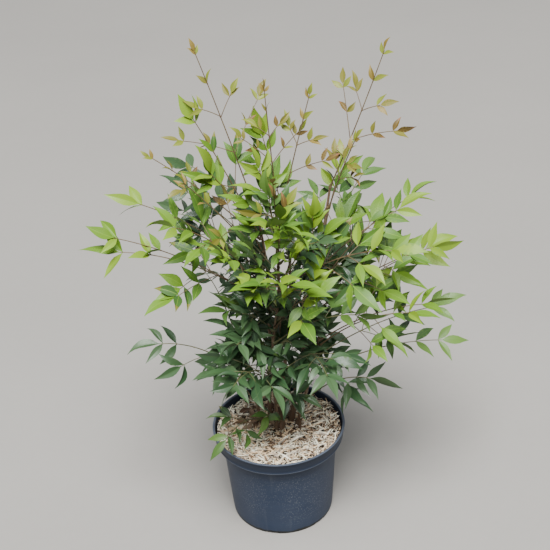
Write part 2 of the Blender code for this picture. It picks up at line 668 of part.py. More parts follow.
def make_cane(cane):
    """A round tapering stem from its flat foot on the fill, and its tree for the leaves to avoid."""
    points, faces = [], []
    path = cane_path(cane)
    for ring, centre in enumerate(path):
        up = ring / (CANE_RINGS - 1)
        radius = cane_radius(cane, up)
        for side in range(CANE_SIDES):
            angle = math.tau * side / CANE_SIDES
            points.append(centre + Vector((radius * math.cos(angle), radius * math.sin(angle), 0)))
            if ring:
                low, high = (ring - 1) * CANE_SIDES, ring * CANE_SIDES
                ahead = (side + 1) % CANE_SIDES
                faces.append((low + side, low + ahead, high + ahead, high + side))
    faces += [tuple(range(CANE_SIDES)), tuple(range(len(points) - CANE_SIDES, len(points)))]
    made = add_object(cane.name, points, faces, "bark")
    made.data.shade_smooth()
    made.data.set_sharp_from_angle(angle=SMOOTH_BELOW)
    return tree_of((points, faces))


def make_spray(spray, cane, standing):
    stalks = settle(spray, cane, standing)
    if not stalks:
        print("no room for", spray.name)
        return
    whole = fuse(spray.name, [stalk_solid(*stalk) for stalk in stalks], spray.tint)
    faces = [tuple(face.vertices) for face in whole.data.polygons]
    standing[spray.name] = tree_of(([vertex.co for vertex in whole.data.vertices], faces))
    print(spray.name, "stalks", len(stalks), "leaflets", sum(len(stalk.leaflets) for stalk, _ in stalks))


def main():
    clear_scene()
    make_pot()
    make_fill()
    canes = {cane.name: cane for cane in CANES}
    standing = {cane.name: make_cane(cane) for cane in CANES}
    for spray in OUTLINE_SPRAYS + tuple(fill_sprays()):
        make_spray(spray, canes[spray.cane], standing)


main()
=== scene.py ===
# %% [markdown]
# # A young heavenly bamboo in its nursery pot
#
# The real thing is a shrub of seven thin canes in a round slate-coloured plastic pot, topped with
# shredded wood. Every leaf of a heavenly bamboo is a large spray: a long stalk that carries pairs of
# side stalks, and those carry pointed leaflets in threes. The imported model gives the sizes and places
# of the solids. This notebook dresses them: pot, chips, canes, stalks and leaflets, one step at a time.

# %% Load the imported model
import itertools
import json
import math
import random
from collections import namedtuple

import bmesh
import bpy
from mathutils import Matrix, Quaternion, Vector
from mathutils.kdtree import KDTree

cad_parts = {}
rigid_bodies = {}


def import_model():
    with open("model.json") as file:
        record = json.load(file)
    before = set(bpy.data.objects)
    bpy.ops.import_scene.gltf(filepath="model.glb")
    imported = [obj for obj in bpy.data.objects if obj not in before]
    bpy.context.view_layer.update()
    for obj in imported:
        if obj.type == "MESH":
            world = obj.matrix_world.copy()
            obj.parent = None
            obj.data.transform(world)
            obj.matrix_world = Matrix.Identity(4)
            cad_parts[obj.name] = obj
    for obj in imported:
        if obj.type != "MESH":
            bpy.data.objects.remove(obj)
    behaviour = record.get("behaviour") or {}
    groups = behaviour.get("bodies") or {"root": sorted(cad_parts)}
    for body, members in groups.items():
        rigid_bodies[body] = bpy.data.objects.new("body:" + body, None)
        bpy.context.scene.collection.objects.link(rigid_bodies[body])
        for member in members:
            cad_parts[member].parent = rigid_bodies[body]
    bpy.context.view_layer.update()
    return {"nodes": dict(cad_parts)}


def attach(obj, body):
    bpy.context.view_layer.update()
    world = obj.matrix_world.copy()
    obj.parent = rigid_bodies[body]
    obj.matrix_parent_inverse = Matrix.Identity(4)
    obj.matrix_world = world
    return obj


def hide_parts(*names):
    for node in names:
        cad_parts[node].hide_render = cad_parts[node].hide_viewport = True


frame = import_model()

# %% [markdown]
# ## Camera, floor and light
#
# The plant stands on pale paving under an even sky and is looked down on from standing height. A long
# lens keeps the pot's sides almost parallel. One very large lamp high in front lays a soft shadow round
# the pot, and a bright plain sky fills the rest, so that no leaf goes black.

# %% Camera
CAMERA_ELEVATION = math.radians(32.725)
CAMERA_DISTANCE = 2.2
CAMERA_ROLL = math.radians(3.33)
CAMERA_AIM = Vector((0.0083, 0.0, 0.4658))
CAMERA_LENS = 92.1  # millimetres, on a sensor 36 mm wide


def linked(name, data):
    made = bpy.data.objects.new(name, data)
    bpy.context.scene.collection.objects.link(made)
    return made


def add_camera():
    """A camera in front of the plant that looks down on it, turned a little about its own axis."""
    back = Vector((0, -math.cos(CAMERA_ELEVATION), math.sin(CAMERA_ELEVATION)))
    upward = Vector((0, math.sin(CAMERA_ELEVATION), math.cos(CAMERA_ELEVATION)))
    right = Vector((1, 0, 0))
    across = math.cos(CAMERA_ROLL) * right - math.sin(CAMERA_ROLL) * upward
    top = math.sin(CAMERA_ROLL) * right + math.cos(CAMERA_ROLL) * upward
    lens = bpy.data.cameras.new("camera")
    lens.lens = CAMERA_LENS
    camera = linked("camera", lens)
    turn = Matrix((across, top, back)).transposed().to_4x4()
    camera.matrix_world = Matrix.Translation(CAMERA_AIM + back * CAMERA_DISTANCE) @ turn
    bpy.context.scene.camera = camera


add_camera()
print("camera at", [round(value, 3) for value in bpy.context.scene.camera.matrix_world.translation])

# %% [markdown]
# ## A short way to write node trees
#
# Blender's materials and Geometry Nodes are both trees of nodes. `NodeTree.node` adds any node from its
# type, its settings and what its sockets get. `Wire` stands for one output, and sums with it add Math
# nodes, so a formula such as `1 - dust * 0.5` can be written as one.

# %% Node trees and sums of wires
def maths(operation, reflected=False):
    """What an operator between a wire and a number or another wire does."""

    def work(self, other):
        ends = (other, self) if reflected else (self, other)
        return self.tree.node("ShaderNodeMath", {"operation": operation}, dict(enumerate(ends)))

    return work


class Wire:
    """One output socket of a tree. A sum with it adds a Math node."""

    def __init__(self, tree, socket):
        self.tree = tree
        self.socket = socket

    __add__, __radd__ = maths("ADD"), maths("ADD", True)
    __sub__, __rsub__ = maths("SUBTRACT"), maths("SUBTRACT", True)
    __mul__, __rmul__ = maths("MULTIPLY"), maths("MULTIPLY", True)
    __truediv__, __rtruediv__ = maths("DIVIDE"), maths("DIVIDE", True)
    __pow__, __rpow__ = maths("POWER"), maths("POWER", True)
    least = maths("MINIMUM")


class NodeTree:
    """A shader or Geometry Nodes tree that is being built."""

    def __init__(self, tree):
        self.tree = tree

    def node(self, kind, settings=None, sockets=None, output=0):
        """Adds a node, sets it up, fills its sockets with values or wires, and gives one output."""
        made = self.tree.nodes.new(kind)
        for name, value in (settings or {}).items():
            setattr(made, name, value)
        self.fill(made, sockets or {})
        return Wire(self, made.outputs[output])

    def fill(self, made, sockets):
        for key, value in sockets.items():
            if isinstance(value, Wire):
                self.tree.links.new(value.socket, made.inputs[key])
            else:
                made.inputs[key].default_value = value

    def geometry(self, kind, **sockets):
        """A Geometry Nodes node by its short name, with _ for the spaces in its sockets' names."""
        named = {label.replace("_", " "): value for label, value in sockets.items()}
        return self.node(f"GeometryNode{kind}", {}, named)

    def vector(self, x, y, z):
        return self.node("ShaderNodeCombineXYZ", {}, {0: x, 1: y, 2: z})

    def part(self, vector, axis):
        return self.node("ShaderNodeSeparateXYZ", {}, {0: vector}, output=axis)

    def place(self, scale=(1, 1, 1)):
        """Object coordinates in metres, stretched along each axis by that scale."""
        coordinates = self.node("ShaderNodeTexCoord", output=3)
        return self.node("ShaderNodeMapping", {}, {"Vector": coordinates, "Scale": scale})

    def noise(self, scale, detail=3.0, roughness=0.55, over=(1, 1, 1)):
        """Noise over object coordinates in that stretch, or over the points that a wire gives."""
        vector = over if isinstance(over, Wire) else self.place(over)
        sockets = {"Vector": vector, "Scale": scale, "Detail": detail, "Roughness": roughness}
        return self.node("ShaderNodeTexNoise", {}, sockets)

    def spread(self, value, low, high):
        """Stretches the part of a value between low and high over 0 to 1."""
        return self.node("ShaderNodeMapRange", {}, {0: value, 1: low, 2: high})

    def blend(self, factor, first, second):
        """A colour between two colours."""
        sockets = {0: factor, 6: first, 7: second}
        return self.node("ShaderNodeMix", {"data_type": "RGBA"}, sockets, output=2)

    def relief(self, height, strength, distance):
        sockets = {"Strength": strength, "Distance": distance, "Height": height}
        return self.node("ShaderNodeBump", {}, sockets)


class Finish(NodeTree):
    """A Principled material whose sockets are fed by name, with _ for a space."""

    def __init__(self, name, **fixed):
        self.material = bpy.data.materials.new(name)
        self.material.use_nodes = True
        super().__init__(self.material.node_tree)
        self.feed(**fixed)

    def feed(self, **sockets):
        shader = self.tree.nodes["Principled BSDF"]
        self.fill(shader, {label.replace("_", " "): value for label, value in sockets.items()})
        return self.material


def colour(red, green, blue):
    return (red, green, blue, 1.0)


def times(tint, factor):
    return tuple(min(1.0, part * factor) for part in tint[:3]) + (1.0,)


print("node helpers ready")

# %% Mesh objects
Z_AXIS = Vector((0, 0, 1))


def mesh_object(name, points, faces=(), edges=()):
    mesh = bpy.data.meshes.new(name)
    mesh.from_pydata([tuple(point) for point in points], list(edges), list(faces))
    return linked(name, mesh)


def faced_outward(thing):
    """The same closed shape, with every face turned outwards."""
    shape = bmesh.new()
    shape.from_mesh(thing.data)
    bmesh.ops.recalc_face_normals(shape, faces=shape.faces)
    shape.to_mesh(thing.data)
    shape.free()
    return thing


def store(thing, name, data_type, values, domain="POINT"):
    """Keeps a value for each point or face of a mesh, for a rule to read."""
    kept = thing.data.attributes.new(name, data_type, domain)
    kept.data.foreach_set("vector" if data_type == "FLOAT_VECTOR" else "value", values)


def smoothed(thing, sharp_degrees):
    """The same shape shaded smooth, with a crease where faces meet more sharply than that."""
    thing.data.shade_smooth()
    thing.data.set_sharp_from_angle(angle=math.radians(sharp_degrees))
    return thing


def between(low, high, share):
    return low + (high - low) * share


def clamped(value):
    return min(1.0, max(0.0, value))


def triangles(thing):
    thing.data.calc_loop_triangles()
    return len(thing.data.loop_triangles)


def finished(piece, slot, *nodes):
    """Says what the piece rides on and which solids it stands for. The slot, which names its finish, is
    not used.
    """
    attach(piece, "root")
    if nodes:
        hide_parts(*nodes)
    print(piece.name, triangles(piece), "triangles for", len(nodes), "solids")


# %% Floor
FLOOR_REACH = 7.0
FLOOR_COLOUR = colour(0.240, 0.229, 0.211)


def add_floor():
    around = ((-1, -1), (1, -1), (1, 1), (-1, 1))
    corners = [(x * FLOOR_REACH, y * FLOOR_REACH, 0) for x, y in around]
    floor = mesh_object("floor", corners, [(0, 1, 2, 3)])
    tree = Finish("pale_floor", Roughness=0.85)
    mottle = tree.noise(2.2, 5.0) * 0.75 + tree.noise(60.0, 4.0) * 0.25
    shade = tree.spread(mottle, 0.2, 0.8)
    paving = tree.blend(shade, times(FLOOR_COLOUR, 0.94), times(FLOOR_COLOUR, 1.05))
    floor.data.materials.append(tree.feed(Base_Color=paving))


add_floor()

# %% Lamp and sky
SKY_STRENGTH = 0.60
SKY_COLOUR = colour(0.93, 0.96, 1.0)
LAMP_PLACE = Vector((-0.05, -3.4, 8.0))
LAMP_AIM = Vector((0.0, 0.0, 0.30))
LAMP_SIZE = 4.6
LAMP_POWER = 2550.0


def add_light():
    world = bpy.data.worlds.new("sky")
    world.use_nodes = True
    background = world.node_tree.nodes["Background"]
    background.inputs["Color"].default_value = SKY_COLOUR
    background.inputs["Strength"].default_value = SKY_STRENGTH
    bpy.context.scene.world = world
    lamp = bpy.data.lights.new("large_lamp", "AREA")
    lamp.shape = "DISK"
    lamp.size = LAMP_SIZE
    lamp.energy = LAMP_POWER
    turn = (LAMP_PLACE - LAMP_AIM).to_track_quat("Z", "Y").to_matrix().to_4x4()
    linked("large_lamp", lamp).matrix_world = Matrix.Translation(LAMP_PLACE) @ turn


add_light()
print("light set")

# %% [markdown]
# ## Geometry Nodes as growing rules
#
# Leaflets, stalks and chips are each one small thing repeated many times. A rule is a Geometry Nodes
# tree with named inputs. `grow` runs it on a mesh of faces, edges or points and keeps the outcome as
# a plain mesh, so nothing live is left.

# %% Rules and growing
def new_rule(name, **inputs):
    """A Geometry Nodes tree and a wire for each input. Inputs are named under the kind they are."""
    group = bpy.data.node_groups.new(name, "GeometryNodeTree")
    group.interface.new_socket("Geometry", in_out="INPUT", socket_type="NodeSocketGeometry")
    for kind, labels in inputs.items():
        for label in labels.split():
            group.interface.new_socket(label, in_out="INPUT", socket_type=f"NodeSocket{kind}")
    group.interface.new_socket("Geometry", in_out="OUTPUT", socket_type="NodeSocketGeometry")
    tree = NodeTree(group)
    entry = group.nodes.new("NodeGroupInput")
    wires = {socket.name: Wire(tree, socket) for socket in entry.outputs if socket.name}
    return tree, wires


def close_rule(tree, geometry):
    tree.fill(tree.tree.nodes.new("NodeGroupOutput"), {"Geometry": geometry})
    return tree.tree


def stored(tree, name, data_type="FLOAT"):
    return tree.node("GeometryNodeInputNamedAttribute", {"data_type": data_type}, {"Name": name})


def set_patterns(tree, points, patterns, index, rotation, scale):
    """One pattern out of a collection on each point, made real geometry."""
    kinds = tree.geometry(
        "CollectionInfo", Collection=patterns, Separate_Children=True, Reset_Children=True
    )
    things = tree.geometry(
        "InstanceOnPoints",
        Points=points,
        Instance=kinds,
        Pick_Instance=True,
        Instance_Index=index,
        Rotation=rotation,
        Scale=scale,
    )
    return tree.geometry("RealizeInstances", Geometry=things)


def baked(thing):
    """The object with its modifiers run and their outcome kept as its plain mesh."""
    graph = bpy.context.evaluated_depsgraph_get()
    outcome = bpy.data.meshes.new_from_object(thing.evaluated_get(graph))
    outcome.name = thing.name
    thing.modifiers.clear()
    thing.data = outcome
    return thing


def grow(thing, rule, **values):
    """Runs the rule on an object and keeps the outcome."""
    modifier = thing.modifiers.new("rule", "NODES")
    modifier.node_group = rule
    for item in rule.interface.items_tree:
        if item.item_type == "SOCKET" and item.in_out == "INPUT" and item.name in values:
            modifier[item.identifier] = values[item.name]
    return baked(thing)


def kinds_collection(name, things):
    """A collection of patterns that a rule picks from. It is emptied when the rule has run."""
    kinds = bpy.data.collections.new(name)
    bpy.context.scene.collection.children.link(kinds)
    for thing in things:
        bpy.context.scene.collection.objects.unlink(thing)
        kinds.objects.link(thing)
    print(name, len(things), "of", triangles(things[0]), "triangles")
    return kinds


def remove_kinds(kinds):
    for thing in list(kinds.objects):
        bpy.data.objects.remove(thing, do_unlink=True)
    bpy.data.collections.remove(kinds)


# %% [markdown]
# ## The pot
#
# A blown nursery pot is one thin wall turned round an axis: a foot with drain notches, a plain wall, a
# step, a collar and a rolled lip. Its section is drawn once, its corners are rounded as the mould
# rounds them, and the section is turned in many steps so that the lip shows no flats.

# %% Pot shape
POT_HEIGHT = 0.172
POT_BASE_RADIUS = 0.0855
POT_BODY_TOP_RADIUS = 0.0960
POT_COLLAR_HEIGHT = 0.024
POT_COLLAR_RADIUS = 0.1065
POT_RIM_RADIUS = 0.1110
POT_RIM_OVERHANG = 0.0022
POT_LIP_HEIGHT = 0.0035
POT_STEP_RISE = 0.0015
POT_WALL = 0.0018
POT_FLOOR = 0.0025
POT_TURNS = 144
POT_COLLAR_FOOT = POT_HEIGHT - POT_COLLAR_HEIGHT
BEAD_RISE = 0.0022  # of the collar's rounded lower edge over the step
DRAIN_SLOTS = 6
DRAIN_SLOT_SIZE = (0.010, 0.022, 0.0072)  # across the wall, along it, up and down
FIRST_DRAIN_SLOT = 0.25  # of the step between slots, from +X
CORNER_STEPS = 4
POT_CREASE = 35  # degrees between faces that meet in a visible edge


def rounded(section):
    """Rounds each corner of a section: a list of (radius, height, size of the rounding)."""
    points = []
    for index, (radius, height, size) in enumerate(section):
        corner = Vector((radius, height))
        if size == 0:
            points.append(corner)
            continue
        before = Vector(section[index - 1][:2])
        after = Vector(section[index + 1][:2])
        start = corner + (before - corner).normalized() * size
        end = corner + (after - corner).normalized() * size
        for step in range(CORNER_STEPS + 1):
            share = step / CORNER_STEPS
            bend = start.lerp(corner, share).lerp(corner.lerp(end, share), share)
            points.append(bend)
    return points


def turned(name, section, turns):
    """A closed shape turned round Z from a section that starts and ends on the axis."""
    points, faces, rings = [], [], []
    for radius, height in section:
        count = 1 if radius < 1e-9 else turns
        rings.append(range(len(points), len(points) + count))
        for step in range(count):
            angle = math.tau * step / turns
            points.append((radius * math.cos(angle), radius * math.sin(angle), height))
    for lower, upper in zip(rings, rings[1:]):
        for step in range(turns):
            ahead = step + 1
            corners = [lower[step % len(lower)], lower[ahead % len(lower)]]
            corners += [upper[ahead % len(upper)], upper[step % len(upper)]]
            faces.append(tuple(dict.fromkeys(corners)))
    return mesh_object(name, points, faces)


def pot_section():
    """The wall from the middle of the underside, round the lip and back to the middle inside."""
    base, body, collar, rim = POT_BASE_RADIUS, POT_BODY_TOP_RADIUS, POT_COLLAR_RADIUS, POT_RIM_RADIUS
    step, lip = POT_COLLAR_FOOT, POT_HEIGHT - POT_LIP_HEIGHT
    neck = rim - POT_RIM_OVERHANG
    foot_ring = base - 0.006
    return [
        (0, 0.0012, 0),
        (foot_ring - 0.004, 0.0012, 0.0006),
        (foot_ring - 0.003, 0, 0.0006),
        (base - 0.0012, 0, 0.0008),
        (base, 0.0045, 0.0024),
        (base + 0.0030, 0.045, 0.010),
        (body, step, 0.0006),
        (collar - 0.0012, step + 0.0004, 0.0005),
        (collar + 0.0012, step + BEAD_RISE, 0.0010),
        (collar + 0.0002, step + 0.0055, 0.0012),
        (neck, lip, 0.0005),
        (rim, lip + 0.0006, 0.0009),
        (rim, POT_HEIGHT, 0.0011),
        (neck - POT_WALL, POT_HEIGHT, 0.0011),
        (neck - POT_WALL - 0.0004, lip, 0.0006),
        (collar - POT_WALL, step + POT_STEP_RISE + POT_WALL, 0.0006),
        (body - POT_WALL, step + POT_WALL, 0.0006),
        (base - POT_WALL, POT_FLOOR, 0.002),
        (0, POT_FLOOR, 0),
    ]


def cut_drain_slots(pot):
    """Notches round the foot, where water leaves."""
    cutters = []
    for slot in range(DRAIN_SLOTS):
        angle = math.tau * (slot + FIRST_DRAIN_SLOT) / DRAIN_SLOTS
        bpy.ops.mesh.primitive_cube_add(size=1)
        cutter = bpy.context.object
        cutter.data.transform(Matrix.Diagonal((*DRAIN_SLOT_SIZE, 1)))
        cutter.data.transform(Matrix.Translation((POT_BASE_RADIUS, 0, 0)))
        cutter.data.transform(Matrix.Rotation(angle, 4, "Z"))
        cut = pot.modifiers.new("cut", "BOOLEAN")
        cut.operation = "DIFFERENCE"
        cut.object = cutter
        cutters.append(cutter)
    baked(pot)
    for cutter in cutters:
        bpy.data.objects.remove(cutter, do_unlink=True)


# %% Pot finish
SLATE = colour(0.0158, 0.0262, 0.0515)
DUST = colour(0.26, 0.27, 0.27)
# Colour of the painted highlights along the lip and along the collar's lower edge.
HIGHLIGHT_TINT = colour(0.115, 0.135, 0.170)
FOOT_DARK = colour(0.008, 0.008, 0.007)
FOOT_DARK_HEIGHT = 0.0085
FADE = 0.002  # how softly the collar's painted shade begins


def slate_plastic():
    """Dull blow-moulded plastic: faint bands round it, a film of dust, dried drops, a darker foot,
    painted highlights on lip and bead, painted shade on and under the collar.
    """
    tree = Finish("slate_plastic", Specular_IOR_Level=0.26)
    bands = tree.noise(1.0, 2.0, over=(6, 6, 240))
    clouds = tree.noise(26.0, 4.0)
    patches = tree.noise(17.0, over=(1, 1, 0.6))
    sockets = {"Vector": tree.place((1, 1, 0.8)), "Scale": 400.0}
    cells = tree.node("ShaderNodeTexVoronoi", {}, sockets)
    height = tree.part(tree.place(), 2)
    above_step = height - POT_COLLAR_FOOT

    splashed = tree.spread(height, 0.012, 0.040) * tree.spread(height, 0.140, 0.115)
    drops = tree.spread(cells, 0.32, 0.14) * tree.spread(patches, 0.40, 0.56) * splashed
    streaks = tree.spread(tree.noise(1.0, over=(90, 90, 8)), 0.58, 0.80)
    # Painted shade: the collar is darkened above the step to stand for the lip's shadow, and its dust
    # film is thinned so that it stays dark.
    collar = tree.spread(above_step, 0.0, FADE)
    film = (tree.spread(clouds, 0.30, 0.85) * 0.055 + streaks * 0.06) * (1 - collar * 0.75)
    dust = (film + drops * 0.34).least(0.7)

    # Painted highlights: lighter lines along the top of the lip and along the collar's rounded lower
    # edge, where light catches them.
    lip_highlight = tree.spread(height, POT_HEIGHT - 0.0014, POT_HEIGHT - 0.0004)
    bead_highlight = tree.spread(above_step, BEAD_RISE - 0.0012, BEAD_RISE)
    bead_highlight *= tree.spread(above_step, BEAD_RISE + 0.0016, BEAD_RISE + 0.0004)
    edge_highlight = (lip_highlight * 0.55 + bead_highlight * 0.50) * (0.4 + clouds)
    # Painted shadow in a band on the wall just under the collar's overhang.
    painted_shadow_under_collar = tree.spread(above_step, -0.014, -0.002) * tree.spread(above_step, FADE, 0.0)
    # Darker towards the foot, in a ragged band.
    ragged = height + tree.noise(90.0) * 0.008
    dark_foot = tree.spread(ragged, FOOT_DARK_HEIGHT + 0.0025, FOOT_DARK_HEIGHT)

    plain = tree.blend(bands, times(SLATE, 0.85), times(SLATE, 1.18))
    # Laid over the plastic in turn: the collar's painted shade, the painted shadow under the collar, the
    # painted highlights, the darker foot and the dust.
    for share, tint in (
        (collar * 0.7, times(SLATE, 0.45)),
        (painted_shadow_under_collar * 0.5, times(SLATE, 0.35)),
        (edge_highlight.least(1.0), HIGHLIGHT_TINT),
        (dark_foot, FOOT_DARK),
        (dust, DUST),
    ):
        plain = tree.blend(share, plain, tint)
    grain = tree.noise(1500.0, 2.0)
    relief = tree.relief(bands * 0.7 + grain * 0.3, 0.25, 0.0006)
    return tree.feed(Base_Color=plain, Roughness=0.46 + clouds * 0.14 + dust * 0.3, Normal=relief)


def make_pot():
    pot = turned("nursery_pot", rounded(pot_section()), POT_TURNS)
    cut_drain_slots(pot)
    pot.data.materials.clear()
    pot.data.materials.append(slate_plastic())
    return smoothed(faced_outward(pot), POT_CREASE)


finished(make_pot(), "pot_plastic", "pot")

# %% [markdown]
# ## The bed of shredded wood
#
# Under the chips lies dark peat. It is one closed plug whose top is a low, uneven mound. The chips are
# split, fibrous slivers of many sizes that lie nearly flat and cross each other. A rule scatters them
# over the mound in five tints from cream to nearly black, and no chip reaches through the pot's wall.

# %% Peat
FILL_EDGE_BELOW_RIM = 0.0105
FILL_CROWN_RISE = 0.0035
FILL_FLAT_RADIUS = 0.060
CLEARANCE = 0.0003
PEAT_GAP = 0.0004  # between the plug and the pot
PEAT_BELOW_FILL = 0.0035
PEAT_RINGS = 26
PEAT_TURNS = 96
PEAT_RELIEF = 0.0022
FRONT_HEAP = 0.0050  # how much higher the bed is at the front lip than in the middle
CHIP_REACH = POT_COLLAR_RADIUS - POT_WALL - 0.0008


def fill_height(radius):
    """Height of the fill's top at that distance from the pot's axis."""
    outer = POT_COLLAR_RADIUS - POT_WALL
    share = clamped((outer - radius) / (outer - FILL_FLAT_RADIUS))
    return POT_HEIGHT - FILL_EDGE_BELOW_RIM + FILL_CROWN_RISE * share


def bed_height(x, y):
    """Height of the dressed bed: heaped to the lip in front, sunk behind, with low lumps."""
    slope = -FRONT_HEAP * y / POT_COLLAR_RADIUS
    return fill_height(math.hypot(x, y)) - PEAT_BELOW_FILL + slope + PEAT_RELIEF * lumps(x, y)


def lumps(x, y):
    """A smooth uneven height between -1 and 1."""
    waves = ((61, 23, 0.4), (-37, 71, 1.9), (97, -55, 3.1), (29, 113, 5.2), (-131, 89, 0.7))
    return sum(math.sin(a * x + b * y + phase) for a, b, phase in waves) / len(waves) * 1.6


def make_peat():
    """The plug from the middle of the pot's floor up to the edge of the bed, and the bed's top."""
    inside = POT_WALL + PEAT_GAP
    section = [
        (0, POT_FLOOR + PEAT_GAP),
        (POT_BASE_RADIUS - POT_WALL - 0.002, POT_FLOOR + PEAT_GAP),
        (POT_BODY_TOP_RADIUS - inside, POT_COLLAR_FOOT + inside),
        (POT_COLLAR_RADIUS - inside, POT_COLLAR_FOOT + POT_STEP_RISE + inside),
    ]
    for ring in range(PEAT_RINGS + 1):
        radius = (POT_COLLAR_RADIUS - inside) * (PEAT_RINGS - ring) / PEAT_RINGS
        section.append((radius, fill_height(radius) - PEAT_BELOW_FILL))
    peat = turned("peat_plug", section, PEAT_TURNS)
    for vertex in peat.data.vertices:
        if vertex.co.z > POT_COLLAR_FOOT + 0.006:
            vertex.co.z = bed_height(vertex.co.x, vertex.co.y)
    peat.data.shade_smooth()
    tree = Finish("dark_peat", Roughness=0.95)
    crumbs = tree.noise(260.0, 5.0, 0.7)
    dark, pale = colour(0.030, 0.020, 0.014), colour(0.15, 0.11, 0.075)
    shade = tree.blend(tree.spread(crumbs, 0.3, 0.75), dark, pale)
    peat.data.materials.append(tree.feed(Base_Color=shade, Normal=tree.relief(crumbs, 0.8, 0.002)))
    return peat


finished(make_peat(), "wood_chips", "chip_fill")

# %% Chip patterns
CHIP_KINDS = 7
CHIP_STATIONS = 3
# Width and thickness at the ragged ends, and between them.
END_WIDTHS, END_THICKNESSES = (0.15, 0.55), (0.3, 0.6)
FULL_WIDTHS, FULL_THICKNESSES = (0.75, 1.0), (0.7, 1.0)
CHIP_BEND = 0.9
CHIP_CORNERS = ((-0.5, -0.5), (0.5, -0.5), (0.42, 0.5), (-0.42, 0.5))  # across and up


def chip_kind(index):
    """A split sliver one unit long, wide and thick: ragged ends, a bent back and uneven sides."""
    dice = random.Random(f"chip {index}")
    points, faces = [], []
    for station in range(CHIP_STATIONS):
        share = station / (CHIP_STATIONS - 1)
        end = station in (0, CHIP_STATIONS - 1)
        width = dice.uniform(*(END_WIDTHS if end else FULL_WIDTHS))
        thick = dice.uniform(*(END_THICKNESSES if end else FULL_THICKNESSES))
        shift = dice.uniform(-0.22, 0.22)
        lift = CHIP_BEND * math.sin(math.pi * share) * dice.uniform(0.3, 1.0)
        for across, up in CHIP_CORNERS:
            skew = dice.uniform(-0.10, 0.10)
            along = share - 0.5 + (dice.uniform(-0.08, 0.08) if end else 0)
            points.append((along, across * width + shift + skew, up * thick + lift))
        if station:
            low, high = 4 * station - 4, 4 * station
            for side in range(4):
                ahead = (side + 1) % 4
                faces.append((low + side, high + side, high + ahead, low + ahead))
    last = len(points) - 1
    faces += [(0, 1, 2, 3), (last, last - 1, last - 2, last - 3)]
    return faced_outward(mesh_object(f"chip_kind_{index}", points, faces))


chip_kinds = kinds_collection("chip_kinds", [chip_kind(index) for index in range(CHIP_KINDS)])


# %% The rule that scatters chips
def scatter_rule():
    """Chips on the faces of a bed: nearly flat, heaped a little, pulled in where they meet the wall."""
    tree, given = new_rule(
        "scatter_chips",
        Float="Density Shortest Longest Heap Tilt Reach",
        Int="Seed",
        Collection="Kinds",
        Material="Finish",
    )

    def drawn(number, low, high, kind="FLOAT"):
        """A random value for each chip, from a seed of its own."""
        first, output = (2, 1) if kind == "FLOAT" else (4, 2)
        sockets = {first: low, first + 1: high, 8: given["Seed"] + number}
        return tree.node("FunctionNodeRandomValue", {"data_type": kind}, sockets, output=output)

    points = tree.geometry(
        "DistributePointsOnFaces",
        Mesh=given["Geometry"],
        Density=given["Density"] * stored(tree, "share"),
        Seed=given["Seed"],
    )
    lift = tree.vector(0.0, 0.0, drawn(1, 0.0, 1.0) * given["Heap"])
    points = tree.geometry("SetPosition", Geometry=points, Offset=lift)
    lean, roll = (drawn(number, -1.0, 1.0) * given["Tilt"] for number in (2, 3))
    angles = tree.vector(lean, roll, drawn(4, 0.0, math.tau))
    size = drawn(5, 0.0, 1.0) ** 2.0
    length = given["Shortest"] + size * (given["Longest"] - given["Shortest"])
    chips = set_patterns(
        tree,
        points,
        given["Kinds"],
        index=drawn(8, 0, CHIP_KINDS - 1, "INT"),
        rotation=tree.node("FunctionNodeEulerToRotation", {}, {"Euler": angles}),
        scale=tree.vector(
            length,
            0.0008 + length * drawn(6, 0.02, 0.10),
            0.0005 + length * drawn(7, 0.03, 0.09),
        ),
    )
    here = tree.geometry("InputPosition")
    x, y, z = (tree.part(here, axis) for axis in range(3))
    away = (x**2 + y**2) ** 0.5 + 1e-6
    pull = (given["Reach"] / away).least(1.0)
    moved = tree.vector(x * pull, y * pull, z)
    chips = tree.geometry("SetPosition", Geometry=chips, Position=moved)
    chips = tree.geometry("SetMaterial", Geometry=chips, Material=given["Finish"])
    return close_rule(tree, chips)


chip_rule = scatter_rule()

# %% Chips in their tints
# Tint: colour, chips on a square metre, shortest and longest, how far they lie from the middle, in
# metres, and whether they crowd to the bed's lit front left rather than its back right, so that pale
# and dark chips paint the light and the crown's shadow on the bed. Dry brown litter lies only round
# the canes.
CHIP_TINTS = {
    "cream": (colour(1.00, 0.87, 0.68), 34000, 0.008, 0.030, 0.1035, True),
    "straw": (colour(0.84, 0.63, 0.40), 30000, 0.008, 0.028, 0.1035, True),
    "grey": (colour(0.46, 0.39, 0.31), 28000, 0.007, 0.024, 0.1035, False),
    "brown": (colour(0.18, 0.110, 0.065), 27000, 0.006, 0.022, 0.1035, False),
    "dark": (colour(0.016, 0.012, 0.009), 23000, 0.006, 0.018, 0.1035, False),
    "litter": (colour(0.125, 0.066, 0.036), 90000, 0.004, 0.014, 0.036, True),
}
BED_RINGS = 12
LEAST_CHIPS = 0.50  # share of a tint's chips that is left where it is rarest
CHIP_HEAP = 0.0075
CHIP_TILT = math.radians(30)


def split_wood(name, tint):
    """Weathered split wood: fine fibres, paler where the sun has bleached it."""
    tree = Finish(f"wood_{name}", Roughness=0.88)
    fibres = tree.noise(900.0)
    shade = tree.spread(fibres * 0.5 + tree.noise(120.0, 2.0) * 0.5, 0.3, 0.7)
    wood = tree.blend(shade, times(tint, 0.70), times(tint, 1.20))
    return tree.feed(Base_Color=wood, Normal=tree.relief(fibres, 0.5, 0.0006))


def painted_light_on_bed(x, y):
    """1 at the front left and 0 at the back right: painted light, pale chips for the light on the bed and
    dark ones for the crown's shadow.
    """
    way = (-0.5 * x - y) / POT_COLLAR_RADIUS
    return clamped(0.5 + 0.45 * way + 0.25 * lumps(1.7 * x + 0.03, 1.7 * y))


